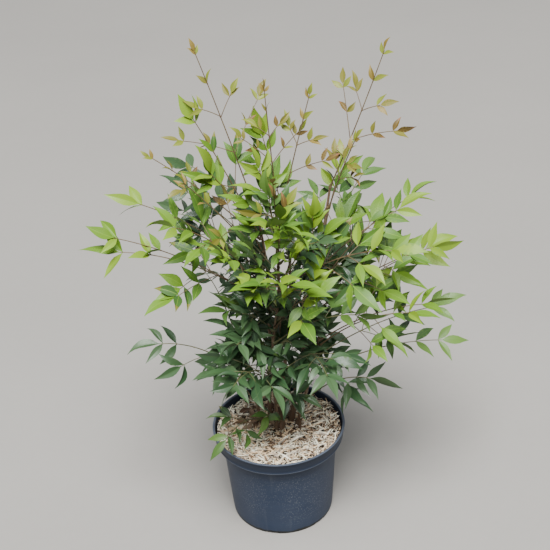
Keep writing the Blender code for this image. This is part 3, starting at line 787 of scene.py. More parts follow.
def bed_surface(name, reach, bright):
    """An open disc that follows the mound. It only carries the points for the chips."""
    points, faces = [Vector((0, 0, bed_height(0, 0)))], []
    for ring in range(1, BED_RINGS + 1):
        radius = reach * ring / BED_RINGS
        outer = len(points)
        inner = outer - PEAT_TURNS
        for step in range(PEAT_TURNS):
            angle = math.tau * step / PEAT_TURNS
            x, y = radius * math.cos(angle), radius * math.sin(angle)
            points.append(Vector((x, y, bed_height(x, y))))
            ahead = (step + 1) % PEAT_TURNS
            near = (0,) if ring == 1 else (inner + step,)
            far = () if ring == 1 else (inner + ahead,)
            faces.append((*near, outer + step, outer + ahead, *far))
    bed = mesh_object(name, points, faces)
    # Painted light and shade: tints that crowd to the front left thin out towards the back right, and the
    # others the other way round.
    lit = [painted_light_on_bed(point.x, point.y) for point in points]
    store(bed, "share", "FLOAT", [between(LEAST_CHIPS, 1.0, s if bright else 1 - s) for s in lit])
    return bed


for index, (name, mix) in enumerate(CHIP_TINTS.items()):
    tint, density, shortest, longest, reach, bright = mix
    chips = grow(
        bed_surface(f"chips_{name}", reach, bright),
        chip_rule,
        Density=float(density),
        Seed=100 * index + 7,
        Shortest=shortest,
        Longest=longest,
        Heap=CHIP_HEAP,
        Tilt=CHIP_TILT,
        Reach=CHIP_REACH,
        Kinds=chip_kinds,
        Finish=split_wood(name, tint),
    )
    finished(chips, "wood_chips")
remove_kinds(chip_kinds)

# %% [markdown]
# ## How the plant grows
#
# Seven canes rise from one crown of roots. Sprays leave them at named places, or by the golden angle
# where a rule sets them, and each spray divides by the same rule: pairs of side stalks that shorten
# towards the end, three leaflets at the end of each, and a pair half-way where there is room. The packed
# solids follow that rule too, so here it is written again, and carried on to finer twigs.

# %% Canes of the plant
SEED = 11
GOLDEN_ANGLE = 137.5
CANE_RINGS = 8
CANE_FOOT_RADIUS = 0.0042
CANE_TIP_RADIUS = 0.0021
CANE_FLARE = 1.6  # how much wider the foot is than the stem just above it
CANE_FLARE_SHARE = 0.12  # of the cane's height
CANE_SWAY = 0.018
SHORT_CANE_SIZE = 0.70
Cane = namedtuple("Cane", "name foot tip")
# Name, and places in metres: the foot on the fill as (x, y), and the tip as (x, y, z).
CANE_ROWS = (
    ("centre", (0.005, 0.010), (0.017, 0.010, 0.580)),
    ("left", (-0.014, 0.014), (-0.013, 0.030, 0.556)),
    ("right", (0.020, 0.008), (0.099, 0.010, 0.610)),
    ("back", (0.006, 0.036), (0.030, 0.092, 0.500)),
    ("front", (-0.004, -0.010), (0.012, -0.040, 0.440)),
    ("low_left", (-0.026, 0.000), (-0.058, -0.006, 0.360)),
    ("low_right", (0.030, -0.004), (0.074, -0.002, 0.350)),
)
CANES = tuple(Cane(f"cane_{name}", foot, tip) for name, foot, tip in CANE_ROWS)
CANE_OF = {cane.name: cane for cane in CANES}
print("canes", len(CANES))

# %% Sprays that draw the outline
Spray = namedtuple("Spray", "name cane up end arch pairs side_share leaflet tint")


def sprays(prefix, rows):
    """Sprays from rows that leave out the words which all their names share."""
    return tuple(Spray(prefix + name, f"cane_{cane}", *rest) for name, cane, *rest in rows)


# Name, cane, up, end, arch, pairs, side_share, leaflet, tint. up is the share of the cane's length
# where the stalk leaves it, and 1 grows on from its tip. end is where its last leaflets spread.
OUTLINE_ROWS = (
    ("tall_left", "left", 1, (-0.089, 0.030, 0.836), 0.02, 3, 0.32, 0.035, "bronze"),
    ("tall_right", "right", 1, (0.182, 0.000, 0.834), -0.02, 3, 0.33, 0.037, "bronze"),
    ("tall_middle", "centre", 1, (0.008, 0.000, 0.786), 0.01, 3, 0.28, 0.030, "bronze"),
    ("tall_mid_right", "centre", 0.95, (0.073, 0, 0.771), 0.02, 3, 0.32, 0.033, "bronze"),
    ("high_back", "back", 1, (0.001, 0.080, 0.670), 0.05, 3, 0.34, 0.054, "lime"),
    ("bronze_right", "right", 0.93, (0.137, -0.030, 0.712), 0.04, 3, 0.24, 0.036, "bronze"),
    ("bronze_left", "left", 0.90, (-0.168, 0.020, 0.675), 0.04, 3, 0.26, 0.034, "bronze"),
    ("high_right", "right", 0.80, (0.118, 0.060, 0.610), 0.10, 2, 0.34, 0.056, "lime"),
    ("high_left", "left", 0.84, (-0.077, 0.050, 0.645), 0.08, 3, 0.36, 0.056, "lime"),
    ("upper_left", "left", 0.66, (-0.145, -0.050, 0.600), 0.10, 3, 0.34, 0.056, "lime"),
    ("arm_left", "centre", 0.56, (-0.226, -0.020, 0.536), 0.10, 3, 0.34, 0.060, "lime"),
    ("arm_right", "right", 0.42, (0.248, 0.040, 0.471), 0.10, 3, 0.34, 0.060, "lime"),
    ("upper_right", "right", 0.60, (0.226, 0.060, 0.557), 0.10, 3, 0.32, 0.052, "lime"),
    ("front_right", "centre", 0.66, (0.190, -0.060, 0.535), 0.10, 3, 0.34, 0.058, "lime"),
    ("front_high", "centre", 0.84, (0.006, -0.085, 0.604), 0.10, 3, 0.36, 0.056, "lime"),
    ("front_left", "left", 0.58, (-0.067, -0.100, 0.566), 0.10, 3, 0.36, 0.056, "lime"),
    ("front_middle", "front", 1, (0.014, -0.140, 0.540), 0.06, 3, 0.40, 0.058, "lime"),
    ("front_mid_right", "front", 0.84, (0.074, -0.115, 0.5), 0.10, 3, 0.38, 0.056, "lime"),
    ("low_arm_right", "low_right", 0.62, (0.268, -0.02, 0.337), 0.08, 3, 0.24, 0.054, "green"),
    ("low_arm_left", "low_left", 0.55, (-0.181, -0.02, 0.361), 0.12, 3, 0.42, 0.058, "deep"),
    ("right_yellow", "low_right", 0.9, (0.215, -0.07, 0.427), 0.10, 3, 0.34, 0.052, "lime"),
    ("low_front_left", "low_left", 0.3, (-0.092, -0.05, 0.318), 0.14, 2, 0.44, 0.052, "deep"),
    ("low_front_right", "low_right", 0.34, (0.15, -0.04, 0.284), 0.14, 3, 0.36, 0.054, "deep"),
    ("low_centre", "front", 0.10, (-0.016, -0.050, 0.226), 0.16, 1, 0.30, 0.048, "green"),
    ("low_centre_right", "front", 0.24, (0.036, -0.05, 0.266), 0.16, 2, 0.36, 0.05, "deep"),
    ("over_rim", "low_left", 0.10, (-0.086, -0.068, 0.198), 0.16, 2, 0.34, 0.042, "green"),
)
OUTLINE_SPRAYS = sprays("spray_", OUTLINE_ROWS)
print("named sprays", len(OUTLINE_SPRAYS))

# %% Sprays that a rule sets
# Lowest and highest share of the cane's length, how many, and the first one's heading, with 0 to the
# right, 90 to the back and 270 to the front.
FILL_SPRAYS = {
    "cane_centre": (0.34, 0.74, 3, 250),
    "cane_left": (0.26, 0.74, 3, 240),
    "cane_right": (0.26, 0.66, 2, 275),
    "cane_back": (0.24, 0.90, 4, 95),
    "cane_front": (0.46, 0.72, 2, 215),
    "cane_low_left": (0.84, 0.98, 1, 120),
    "cane_low_right": (0.96, 0.98, 1, 60),
}
FILL_REACH = (0.134, 0.172)
FILL_RISE = (8, 36)
FILL_ARCH = (0.16, 0.08)
FILL_LEAFLET = (0.054, 0.056)
FILL_LEAFLET_RANGE = (0.92, 1.08)
HEADING_SWING = (-12, 12)
RISE_SWING = (-6, 6)
FILL_PAIRS = 3
FILL_SIDE_SHARE = 0.36
DEPTH_GAIN = 0.20
FRONT_LIFT = 14
FULL_SPRAY_HEIGHT = 0.44
GREEN_ABOVE = 0.42
LIME_ABOVE = 0.60

# %% Paths
STALK_FOOT_RADIUS = 0.00110
PATH_STEPS = 24
LIGHT = (0.0, -0.45, 1.0)  # leaves turn to the sky over the plant's front


def square_to(direction, vector):
    """The unit part of a vector that stands square to a direction."""
    return (vector - direction * vector.dot(direction)).normalized()


def upper_side(direction):
    """The side of a stalk or leaflet that faces the light."""
    return square_to(direction, Vector(LIGHT))


def leaning(forward, upper, swing, droop):
    """The direction that swings aside from another by some degrees, and then droops."""
    ahead = Quaternion(upper, math.radians(swing)) @ forward
    return Quaternion(ahead.cross(upper), math.radians(-droop)) @ ahead


def arched(start, end, arch, steps):
    """A path from start to end that bulges upward by that share of its length."""
    bulge = Vector((0, 0, 4 * arch * (end - start).length))
    shares = [step / steps for step in range(steps + 1)]
    return [start.lerp(end, share) + bulge * share * (1 - share) for share in shares]


def step_at(path, share):
    """The step of a path in which that share of it lies, and how far into the step that is."""
    place = clamped(share) * (len(path) - 1)
    index = min(int(place), len(path) - 2)
    return index, place - index


def along(path, share):
    """The point at that share of a path, and the path's direction there."""
    index, part = step_at(path, share)
    start, end = path[index], path[index + 1]
    return start.lerp(end, part), (end - start).normalized()


def path_length(path):
    return sum((end - start).length for start, end in zip(path, path[1:]))


def cane_path(cane):
    """Centre line of a cane, with a slight sway to one side."""
    foot = Vector((*cane.foot, fill_height(0) + CLEARANCE))
    tip = Vector(cane.tip)
    sway = (tip - foot).cross(Z_AXIS).normalized() * CANE_SWAY
    shares = [ring / (CANE_RINGS - 1) for ring in range(CANE_RINGS)]
    return [foot.lerp(tip, share) + sway * math.sin(math.pi * share) * share for share in shares]


def cane_radius(cane, up):
    tallness = (cane.tip[2] - POT_HEIGHT) / (CANES[0].tip[2] - POT_HEIGHT)
    size = between(SHORT_CANE_SIZE, 1.0, tallness)
    flare = max(0.0, 1 - up / CANE_FLARE_SHARE)
    return size * between(CANE_FOOT_RADIUS, CANE_TIP_RADIUS, up) * (1 + (CANE_FLARE - 1) * flare**2)


def spray_path(spray, turn):
    """The main stalk's centre line, turned about the cane by some degrees."""
    cane = CANE_OF[spray.cane]
    joint, cane_ahead = along(cane_path(cane), spray.up)
    reach = Matrix.Rotation(math.radians(turn), 3, "Z") @ (Vector(spray.end) - joint)
    if spray.up == 1:
        start = joint + cane_ahead * (CLEARANCE + STALK_FOOT_RADIUS)
    else:
        outward = Vector((reach.x, reach.y, 0)).normalized()
        offset = cane_radius(cane, spray.up) + CLEARANCE + STALK_FOOT_RADIUS
        start = joint + square_to(cane_ahead, outward) * offset
    return arched(start, joint + reach, spray.arch, PATH_STEPS)


print("longest cane", round(max(path_length(cane_path(cane)) for cane in CANES), 3))


# %% A leaflet and a group of three
Stalk = namedtuple("Stalk", "path foot_radius tip_radius leaflets")
Leaflet = namedtuple("Leaflet", "share side root ahead face length")
SIZE_RANGE = (0.88, 1.10)  # of the rule's length
LEAFLET_WIDTH = 0.35  # of its length
LEAFLET_SPREAD = 50  # degrees between a side leaflet and its stalk
SIDE_SWING = (-9, 9)
END_SWING = (-8, 8)
LEAFLET_DROOP = (-4, 20)
SIDE_DROOP = 5  # by which a side leaflet droops more
LEAFLET_ROLL = (-16, 16)
SIDE_ROLL = 6
SIDE_LEAFLET_SHARE = 0.80
END_LEAFLET_STALK = 0.006


def one_leaflet(stalk_path, normal, share, side, length, dice):
    """A leaflet on the stalk's left (1), on its right (-1) or at its end (0)."""
    root, forward = along(stalk_path, share)
    swing = side * (LEAFLET_SPREAD + dice.uniform(*SIDE_SWING)) if side else dice.uniform(*END_SWING)
    droop = dice.uniform(*LEAFLET_DROOP) + (SIDE_DROOP if side else 0)
    roll = dice.uniform(*LEAFLET_ROLL) + side * SIDE_ROLL
    normal = square_to(forward, normal)
    ahead = leaning(forward, normal, swing, droop)
    face = square_to(ahead, upper_side(ahead) + normal)
    face = Quaternion(ahead, math.radians(roll)) @ face
    length *= (SIDE_LEAFLET_SHARE if side else 1.0) * dice.uniform(*SIZE_RANGE)
    return Leaflet(share, side, root, ahead, face, length)


def leaflet_group(path, normal, size, dice):
    """Three leaflets at a stalk's end: a pair, and one on a short stalk of its own."""
    pair_share = 1 - END_LEAFLET_STALK / path_length(path)
    shares = ((pair_share, 1), (pair_share, -1), (1.0, 0))
    return [one_leaflet(path, normal, share, side, size, dice) for share, side in shares]


# %% A side stalk
SIDE_STALK_RADIUS = 0.00070
SIDE_STALK_TAPER = 0.8
SIDE_STALK_ARCH = 0.04
SIDE_STALK_STAGGER = 0.001
SIDE_PATH_STEPS = 4
SIDE_STALK_ANGLE = 48  # degrees from the stalk that carries it
SIDE_STALK_SWING = (-8, 8)
SIDE_STALK_DROOP = (0, 14)
SIDE_STALK_LENGTH = (0.88, 1.08)  # of the rule's length
ROOM_FOR_PAIR = 1.30  # length of a side stalk that carries a second pair, in leaflets
PAIR_ON_SIDE_STALK = (0.42, 0.50)
LOWER_PAIR_SIZE = 0.92  # of the pair at the side stalk's end


def side_stalk(node, forward, normal, side, length, size, leaflet, dice):
    """A side stalk with three leaflets at its end and, where it is long enough, a pair below them."""
    swing = side * (SIDE_STALK_ANGLE + dice.uniform(*SIDE_STALK_SWING))
    ahead = leaning(forward, normal, swing, dice.uniform(*SIDE_STALK_DROOP))
    start = node + forward * SIDE_STALK_STAGGER * side
    end = start + ahead * length * dice.uniform(*SIDE_STALK_LENGTH)
    path = arched(start, end, SIDE_STALK_ARCH, SIDE_PATH_STEPS)
    face = (upper_side(ahead) + normal).normalized()
    leaflets = leaflet_group(path, face, size, dice)
    if length > ROOM_FOR_PAIR * leaflet:
        middle = dice.uniform(*PAIR_ON_SIDE_STALK)
        size *= LOWER_PAIR_SIZE
        leaflets += [one_leaflet(path, face, middle, way, size, dice) for way in (1, -1)]
    return Stalk(path, SIDE_STALK_RADIUS, SIDE_STALK_RADIUS * SIDE_STALK_TAPER, leaflets), face


# %% A whole spray
STALK_TIP_RADIUS = 0.00065
BARE_SHARE = 0.38  # of the stalk, below its first pair of side stalks
PAIR_CROWDING = 0.95  # below 1, the lowest pairs of side stalks stand further apart
SIDE_STALK_FALL = 2.2  # how fast the side stalks shorten towards the end
SHORTEST_SIDE_STALK = 0.014
PAIR_SIZES = (0.90, 1.04)  # of a spray's leaflet, from one pair of side stalks to the next
YOUNG_TIP_SIZE = 0.75


def pair_place(spray, pair):
    """Share of the main stalk at which that pair of side stalks leaves it."""
    return between(BARE_SHARE, 1.0, (pair / spray.pairs) ** PAIR_CROWDING)


def spray_stalks(spray, turn):
    """The spray's stalks, the main one first, each with its upper side and its leaflets."""
    dice = random.Random(f"{SEED} {spray.name}")
    path = spray_path(spray, turn)
    reach = path_length(path)
    normal = upper_side(path[-1] - path[0])
    tip_size = spray.leaflet * (YOUNG_TIP_SIZE if spray.tint == "bronze" else 1)
    leaflets = leaflet_group(path, normal, tip_size, dice)
    sides = []
    for pair in range(spray.pairs):
        place = pair_place(spray, pair)
        node, forward = along(path, place)
        upper = square_to(forward, normal)
        size = spray.leaflet * dice.uniform(*PAIR_SIZES)
        if pair == spray.pairs - 1:
            leaflets += [one_leaflet(path, normal, place, way, size, dice) for way in (1, -1)]
            continue
        fall = (1 - pair / spray.pairs) ** SIDE_STALK_FALL
        length = max(SHORTEST_SIDE_STALK, reach * spray.side_share * fall)
        for side in (1, -1):
            sides.append(side_stalk(node, forward, upper, side, length, size, spray.leaflet, dice))
    return [(Stalk(path, STALK_FOOT_RADIUS, STALK_TIP_RADIUS, leaflets), normal)] + sides


# %% Sprays round each cane
def ruled_sprays(table, reaches, leaflets, prefix, shade_drop=0.0):
    """The sprays that a rule sets round each cane, one golden angle on from another."""
    made = []
    for cane in CANES:
        lowest, highest, count, first = table[cane.name]
        dice = random.Random(f"{SEED} {prefix}{cane.name}")
        for index in range(count):
            up = between(lowest, highest, index / max(1, count - 1))
            joint, _ = along(cane_path(cane), up)
            share = clamped((joint.z - POT_HEIGHT) / (FULL_SPRAY_HEIGHT - POT_HEIGHT))
            heading = math.radians(first + GOLDEN_ANGLE * index + dice.uniform(*HEADING_SWING))
            lift = -FRONT_LIFT * math.sin(heading)
            rise = math.radians(between(*FILL_RISE, share) + lift + dice.uniform(*RISE_SWING))
            depth = 1 + DEPTH_GAIN * abs(math.sin(heading))
            reach = between(*reaches, share) * depth * dice.uniform(*SIZE_RANGE)
            flat = reach * math.cos(rise)
            aside, back = flat * math.cos(heading), flat * math.sin(heading)
            end = joint + Vector((aside, back, reach * math.sin(rise)))
            light = end.z - shade_drop
            tint = "lime" if light > LIME_ABOVE else ("green" if light > GREEN_ABOVE else "deep")
            leaflet = between(*leaflets, share) * dice.uniform(*FILL_LEAFLET_RANGE)
            name = f"{prefix}spray_{cane.name[5:]}_{index + 1}"
            arch = between(*FILL_ARCH, share)
            made.append(Spray(name, cane.name, up, end, arch, FILL_PAIRS, FILL_SIDE_SHARE, leaflet, tint))
    return made


modelled_sprays = OUTLINE_SPRAYS + tuple(ruled_sprays(FILL_SPRAYS, FILL_REACH, FILL_LEAFLET, ""))
print("sprays of the model", len(modelled_sprays))

# %% [markdown]
# ## Where each spray stands
#
# In the model a spray that met its neighbours was turned aside a little, and single leaflets were
# tilted or left out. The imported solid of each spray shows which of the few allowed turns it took: its
# corners lie where the rule puts the stalks' ends and the leaflets' tips.

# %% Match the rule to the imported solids
TURN_ASIDE = (0, 6, -6, 12, -12, 20, -20, 30, -30)
UP_ASIDE = (0, -0.05, 0.05, -0.10, 0.10)
HIGHEST_JOINT = 0.98
TILT_ASIDE = (0, 12, -12, 24, -24)
STALK_END_MATCH = 0.0030
LEAFLET_TIP_MATCH = 0.0015


def corners_of(node_name):
    """The solid's corners, ready to look up the nearest one."""
    vertices = frame["nodes"][node_name].data.vertices
    tree = KDTree(len(vertices))
    for index, vertex in enumerate(vertices):
        tree.insert(vertex.co, index)
    tree.balance()
    return tree


def tilted(leaflet, degrees):
    turn = Quaternion(leaflet.ahead.cross(leaflet.face), math.radians(degrees))
    return leaflet._replace(ahead=turn @ leaflet.ahead, face=turn @ leaflet.face)


def as_modelled(spray):
    """The spray's stalks as its solid stands, with the leaflets that the solid has."""
    corners = corners_of(spray.name)
    best, least = None, math.inf
    for shift, turn in itertools.product(UP_ASIDE if spray.up < 1 else (0,), TURN_ASIDE):
        moved = spray._replace(up=min(spray.up + shift, HIGHEST_JOINT)) if shift else spray
        stalks = spray_stalks(moved, turn)
        gaps = [corners.find(stalk.path[-1])[2] for stalk, _ in stalks]
        if sum(gaps) < least:
            best, least = stalks, sum(gaps)
        if max(gaps) < STALK_END_MATCH:
            break
    kept = []
    for stalk, normal in best:
        leaflets = []
        for leaflet in stalk.leaflets:
            for degrees in TILT_ASIDE:
                turned_leaflet = tilted(leaflet, degrees)
                tip = turned_leaflet.root + turned_leaflet.ahead * turned_leaflet.length
                if corners.find(tip)[2] < LEAFLET_TIP_MATCH:
                    leaflets.append(turned_leaflet)
                    break
        kept.append((stalk._replace(leaflets=leaflets), normal))
    return kept


stalks_of = {spray.name: as_modelled(spray) for spray in modelled_sprays}


def leaflet_count():
    return sum(len(stalk.leaflets) for stalks in stalks_of.values() for stalk, _ in stalks)


print("leaflets found in the solids", leaflet_count())

# %% [markdown]
# ## Finer twigs inside the crown
#
# The solids draw the outline. On the real plant the middle of the crown is fuller: short dark sprays
# fill the space round every cane, and long side stalks divide once more. These come from the same rule
# with shorter reaches, and none goes further out than the sprays that the solids show.

# %% Short sprays inside the crown
INNER_SPRAYS = {
    "cane_centre": (0.27, 0.84, 10, 300),
    "cane_left": (0.34, 0.74, 6, 200),
    "cane_right": (0.24, 0.60, 4, 330),
    "cane_back": (0.26, 0.84, 10, 60),
    "cane_front": (0.44, 0.96, 8, 250),
    "cane_low_left": (0.50, 0.90, 2, 140),
    "cane_low_right": (0.40, 0.80, 2, 60),
}
INNER_REACH = (0.060, 0.082)
INNER_LEAFLET = (0.040, 0.044)
INNER_SHADE = 0.14  # metres by which an inner spray is darker than its height would make it
ROOM_OVER_POT = 0.002


def above_pot(point):
    """True where a leaf clears the chips and the lip."""
    outside = math.hypot(point.x, point.y) > POT_RIM_RADIUS + ROOM_OVER_POT
    return outside or point.z > POT_HEIGHT + ROOM_OVER_POT


def clear_of_pot(leaflet):
    shares = (0.25, 0.5, 0.75, 1.0)
    return all(above_pot(leaflet.root + leaflet.ahead * leaflet.length * share) for share in shares)


def only_clear(stalks):
    """The stalks that clear the pot, each with the leaflets that clear it too."""
    kept = []
    for stalk, normal in stalks:
        if all(above_pot(point) for point in stalk.path[-3:]):
            leaflets = [leaflet for leaflet in stalk.leaflets if clear_of_pot(leaflet)]
            kept.append((stalk._replace(leaflets=leaflets), normal))
    return kept


# %% Young and old sprays
# Young sprays between the ones that draw the outline, in the places where the crown is brightest.
YOUNG_ROWS = (
    ("left", "left", 0.92, (-0.098, 0.020, 0.732), 0.03, 2, 0.20, 0.048, "lime"),
    ("middle", "centre", 0.90, (-0.006, -0.010, 0.660), 0.04, 3, 0.30, 0.050, "lime"),
    ("front", "centre", 0.76, (0.020, -0.060, 0.600), 0.06, 3, 0.34, 0.050, "lime"),
    ("centre_right", "right", 0.60, (0.070, -0.020, 0.580), 0.06, 3, 0.34, 0.050, "lime"),
    ("far_right", "right", 0.70, (0.205, 0.020, 0.560), 0.06, 3, 0.26, 0.052, "lime"),
    ("reach_right", "right", 0.50, (0.255, 0.000, 0.500), 0.08, 3, 0.24, 0.054, "lime"),
    ("arm_left", "left", 0.74, (-0.190, 0.000, 0.607), 0.06, 2, 0.22, 0.056, "lime"),
    ("reach_left", "left", 0.60, (-0.232, -0.020, 0.562), 0.06, 2, 0.22, 0.052, "lime"),
    ("bronze_centre", "centre", 0.86, (0.013, -0.060, 0.662), 0.04, 2, 0.20, 0.040, "bronze"),
    ("bronze_left", "left", 0.80, (-0.118, -0.030, 0.655), 0.03, 2, 0.20, 0.040, "bronze"),
    ("front_left", "centre", 0.60, (-0.024, -0.090, 0.570), 0.05, 3, 0.34, 0.046, "green"),
    ("heart", "centre", 0.82, (0.006, -0.020, 0.618), 0.04, 3, 0.34, 0.045, "green"),
    ("front_right", "centre", 0.58, (0.036, -0.092, 0.562), 0.05, 3, 0.34, 0.048, "lime"),
    ("arm_right", "low_right", 0.95, (0.240, -0.030, 0.415), 0.08, 2, 0.26, 0.056, "lime"),
    ("low_right", "low_right", 0.80, (0.262, 0.030, 0.368), 0.07, 2, 0.26, 0.054, "green"),
)
# Older sprays that have lost side stalks, by the share of them that is left.
LEFT_ON = {
    0.15: "back_4",
    0.2: "high_left",
    0.25: "high_right",
    0.3: "high_back low_front_right right_2",
    0.35: "arm_left",
    0.4: "centre_3 left_3 front_2 low_arm_right low_left_1",
    0.45: "low_arm_left bronze_left",
    0.5: "right_yellow left_1",
    0.6: "arm_right low_front_left low_centre_right tall_mid_right upper_left upper_right front_1",
    0.7: "tall_right",
    0.8: "front_left front_right",
}
THINNED = {f"spray_{name}": share for share, names in LEFT_ON.items() for name in names.split()}
# Older sprays high in the crown that have gone dark among the young ones.
GONE_DARK = ("spray_centre_3", "spray_left_3", "spray_back_4")


def thinned(spray):
    """The main stalk and a share of the side stalks. A stalk falls together with its leaflets."""
    dice = random.Random(f"{SEED} thin {spray.name}")
    main, *sides = stalks_of[spray.name]
    return [main] + [side for side in sides if dice.random() < THINNED[spray.name]]


def worn_tint(spray):
    return "deep" if spray.name in GONE_DARK else spray.tint


inner_sprays = ruled_sprays(INNER_SPRAYS, INNER_REACH, INNER_LEAFLET, "inner_", INNER_SHADE)
inner_sprays += sprays("young_", YOUNG_ROWS)
for spray in inner_sprays:
    stalks_of[spray.name] = only_clear(spray_stalks(spray, 0))
for spray in modelled_sprays:
    if spray.name in THINNED:
        stalks_of[spray.name] = thinned(spray)
print("inner sprays", len(inner_sprays))

# %% Twigs that divide once more
TWIG_ROOM = 0.062  # length of a side stalk that carries twigs
TWIGGY_BELOW = 0.56  # metres: younger sprays above that haven't divided so often
TWIG_PLACE = 0.24  # share of the side stalk
TWIG_LENGTH = (0.010, 0.020)
TWIG_ANGLE = (42, 62)
TWIG_DROOP = (-6, 18)
TWIG_RADIUS = 0.00050
TWIG_LEAFLET = 0.74  # of the spray's leaflet


def twigs_on(spray, stalk, normal, dice):
    """Short twigs with three leaflets each, on both sides of a long side stalk."""
    made = []
    node, forward = along(stalk.path, TWIG_PLACE)
    upper = square_to(forward, normal)
    for side in (1, -1):
        swing = side * dice.uniform(*TWIG_ANGLE)
        ahead = leaning(forward, upper, swing, dice.uniform(*TWIG_DROOP))
        path = arched(node, node + ahead * dice.uniform(*TWIG_LENGTH), 0.0, 2)
        size = spray.leaflet * TWIG_LEAFLET * dice.uniform(0.85, 1.1)
        leaflets = leaflet_group(path, upper_side(ahead), size, dice)
        made.append((Stalk(path, TWIG_RADIUS, TWIG_RADIUS * SIDE_STALK_TAPER, leaflets), normal))
    return made


all_sprays = list(modelled_sprays) + inner_sprays
for spray in all_sprays:
    dice = random.Random(f"{SEED} twigs {spray.name}")
    twigs = []
    for stalk, normal in stalks_of[spray.name][1:]:
        old_enough = spray.end[2] < TWIGGY_BELOW and spray.name not in THINNED
        if old_enough and path_length(stalk.path) > TWIG_ROOM:
            twigs += twigs_on(spray, stalk, normal, dice)
    stalks_of[spray.name] += only_clear(twigs)
print("leaflets in all", leaflet_count())

# %% [markdown]
# ## Canes
#
# A cane is bamboo-like: brown, ridged along its length, ringed where old leaves have been, and wrapped
# in dry grey-brown leaf bases. One rule turns every centre line into a tube whose thickness is stored
# on its points, and then pushes the wall in and out to make the ridges.

# %% The rule that turns lines into tubes
def tube_rule():
    """Tubes round the edges of a mesh, as thick as its points say, with relief along their length."""
    tree, given = new_rule(
        "tubes_round_lines", Int="Sides", Float="Relief Grain Stretch", Material="Finish"
    )
    thickness = stored(tree, "thickness")
    tube = tree.geometry(
        "CurveToMesh",
        Curve=tree.geometry("MeshToCurve", Mesh=given["Geometry"]),
        Profile_Curve=tree.geometry("CurvePrimitiveCircle", Resolution=given["Sides"], Radius=1.0),
        Scale=thickness,
        Fill_Caps=True,
    )
    sockets = {0: tree.geometry("InputPosition"), 1: tree.vector(1.0, 1.0, given["Stretch"])}
    squeezed = tree.node("ShaderNodeVectorMath", {"operation": "MULTIPLY"}, sockets)
    ridges = tree.noise(given["Grain"], over=squeezed)
    push = (ridges - 0.5) * given["Relief"] * thickness
    sockets = {0: tree.geometry("InputNormal"), "Scale": push}
    offset = tree.node("ShaderNodeVectorMath", {"operation": "SCALE"}, sockets)
    tube = tree.geometry("SetPosition", Geometry=tube, Offset=offset)
    tube = tree.geometry("SetShadeSmooth", Geometry=tube, Shade_Smooth=True)
    tube = tree.geometry("RealizeInstances", Geometry=tube)
    tube = tree.geometry("SetMaterial", Geometry=tube, Material=given["Finish"])
    return close_rule(tree, tube)


rule_for_tubes = tube_rule()


def tubes(name, lines, **values):
    """Tubes along lines, each a list of (point, thickness)."""
    points, edges, thickness = [], [], []
    for line in lines:
        first = len(points)
        points += [point for point, _ in line]
        thickness += [size for _, size in line]
        edges += [(first + step, first + step + 1) for step in range(len(line) - 1)]
    made = mesh_object(name, points, edges=edges)
    store(made, "thickness", "FLOAT", thickness)
    return grow(made, rule_for_tubes, **values)


# %% Cane lines
CANE_STEPS = 90
CANE_SIDES = 14
RING_GAP = (0.014, 0.040)  # between old leaf scars, low down and high up
RING_SWELL = 0.16
CANE_SLIMNESS = 0.82  # of the solid's thickness, which the ridges fill up again
CANE_ROOT_DEPTH = 0.010
CANE_CREASE = 50
RING_HALF_WIDTH = 0.0016


def smooth_along(path, share):
    """A point on a smooth curve through the path's points."""
    index, t = step_at(path, share)
    before = path[max(index - 1, 0)]
    start, end = path[index], path[index + 1]
    after = path[min(index + 2, len(path) - 1)]
    bend = (2 * before - 5 * start + 4 * end - after) * t**2
    return 0.5 * (2 * start + (end - before) * t + bend + (3 * start - before - 3 * end + after) * t**3)


def ring_places(length, dice):
    places, place = [], dice.uniform(*RING_GAP) * 0.5
    while place < length:
        places.append(place)
        place += between(*RING_GAP, place / length) * dice.uniform(0.7, 1.3)
    return places


def cane_line(cane):
    dice = random.Random(f"{SEED} rings {cane.name}")
    path = cane_path(cane)
    length = path_length(path)
    rings = ring_places(length, dice)
    shares = {step / CANE_STEPS for step in range(CANE_STEPS + 1)}
    for place in rings:
        shares.update((place + shift) / length for shift in (-RING_HALF_WIDTH, -0.0007, 0.0, 0.0009))
    line = [(path[0] - Vector((0, 0, CANE_ROOT_DEPTH)), cane_radius(cane, 0) * 1.25)]
    for share in sorted(share for share in shares if 0 <= share <= 1):
        gap = min(abs(share * length - place) for place in rings)
        swell = 1 + RING_SWELL * max(0.0, 1 - gap / RING_HALF_WIDTH)
        line.append((smooth_along(path, share), cane_radius(cane, share) * CANE_SLIMNESS * swell))
    return line


# %% Stubs and dry sheaths
STUBS = 9
CLUMP_MIDDLE = (0.002, 0.004)
STUB_REACH = (0.006, 0.036)
STUB_HEIGHT = (0.014, 0.034)
STUB_THICKNESS = (0.0026, 0.0046)
STUB_DEPTH = 0.008
STUB_STEPS = 6
SHEATHS_PER_CANE = 7
SHEATH_PLACES = (0.02, 0.80)  # share of the cane
SHEATH_LENGTH = (0.012, 0.030)
SHEATH_STAND_OFF = (0.0005, 0.0045)
SHEATH_STEPS = 6


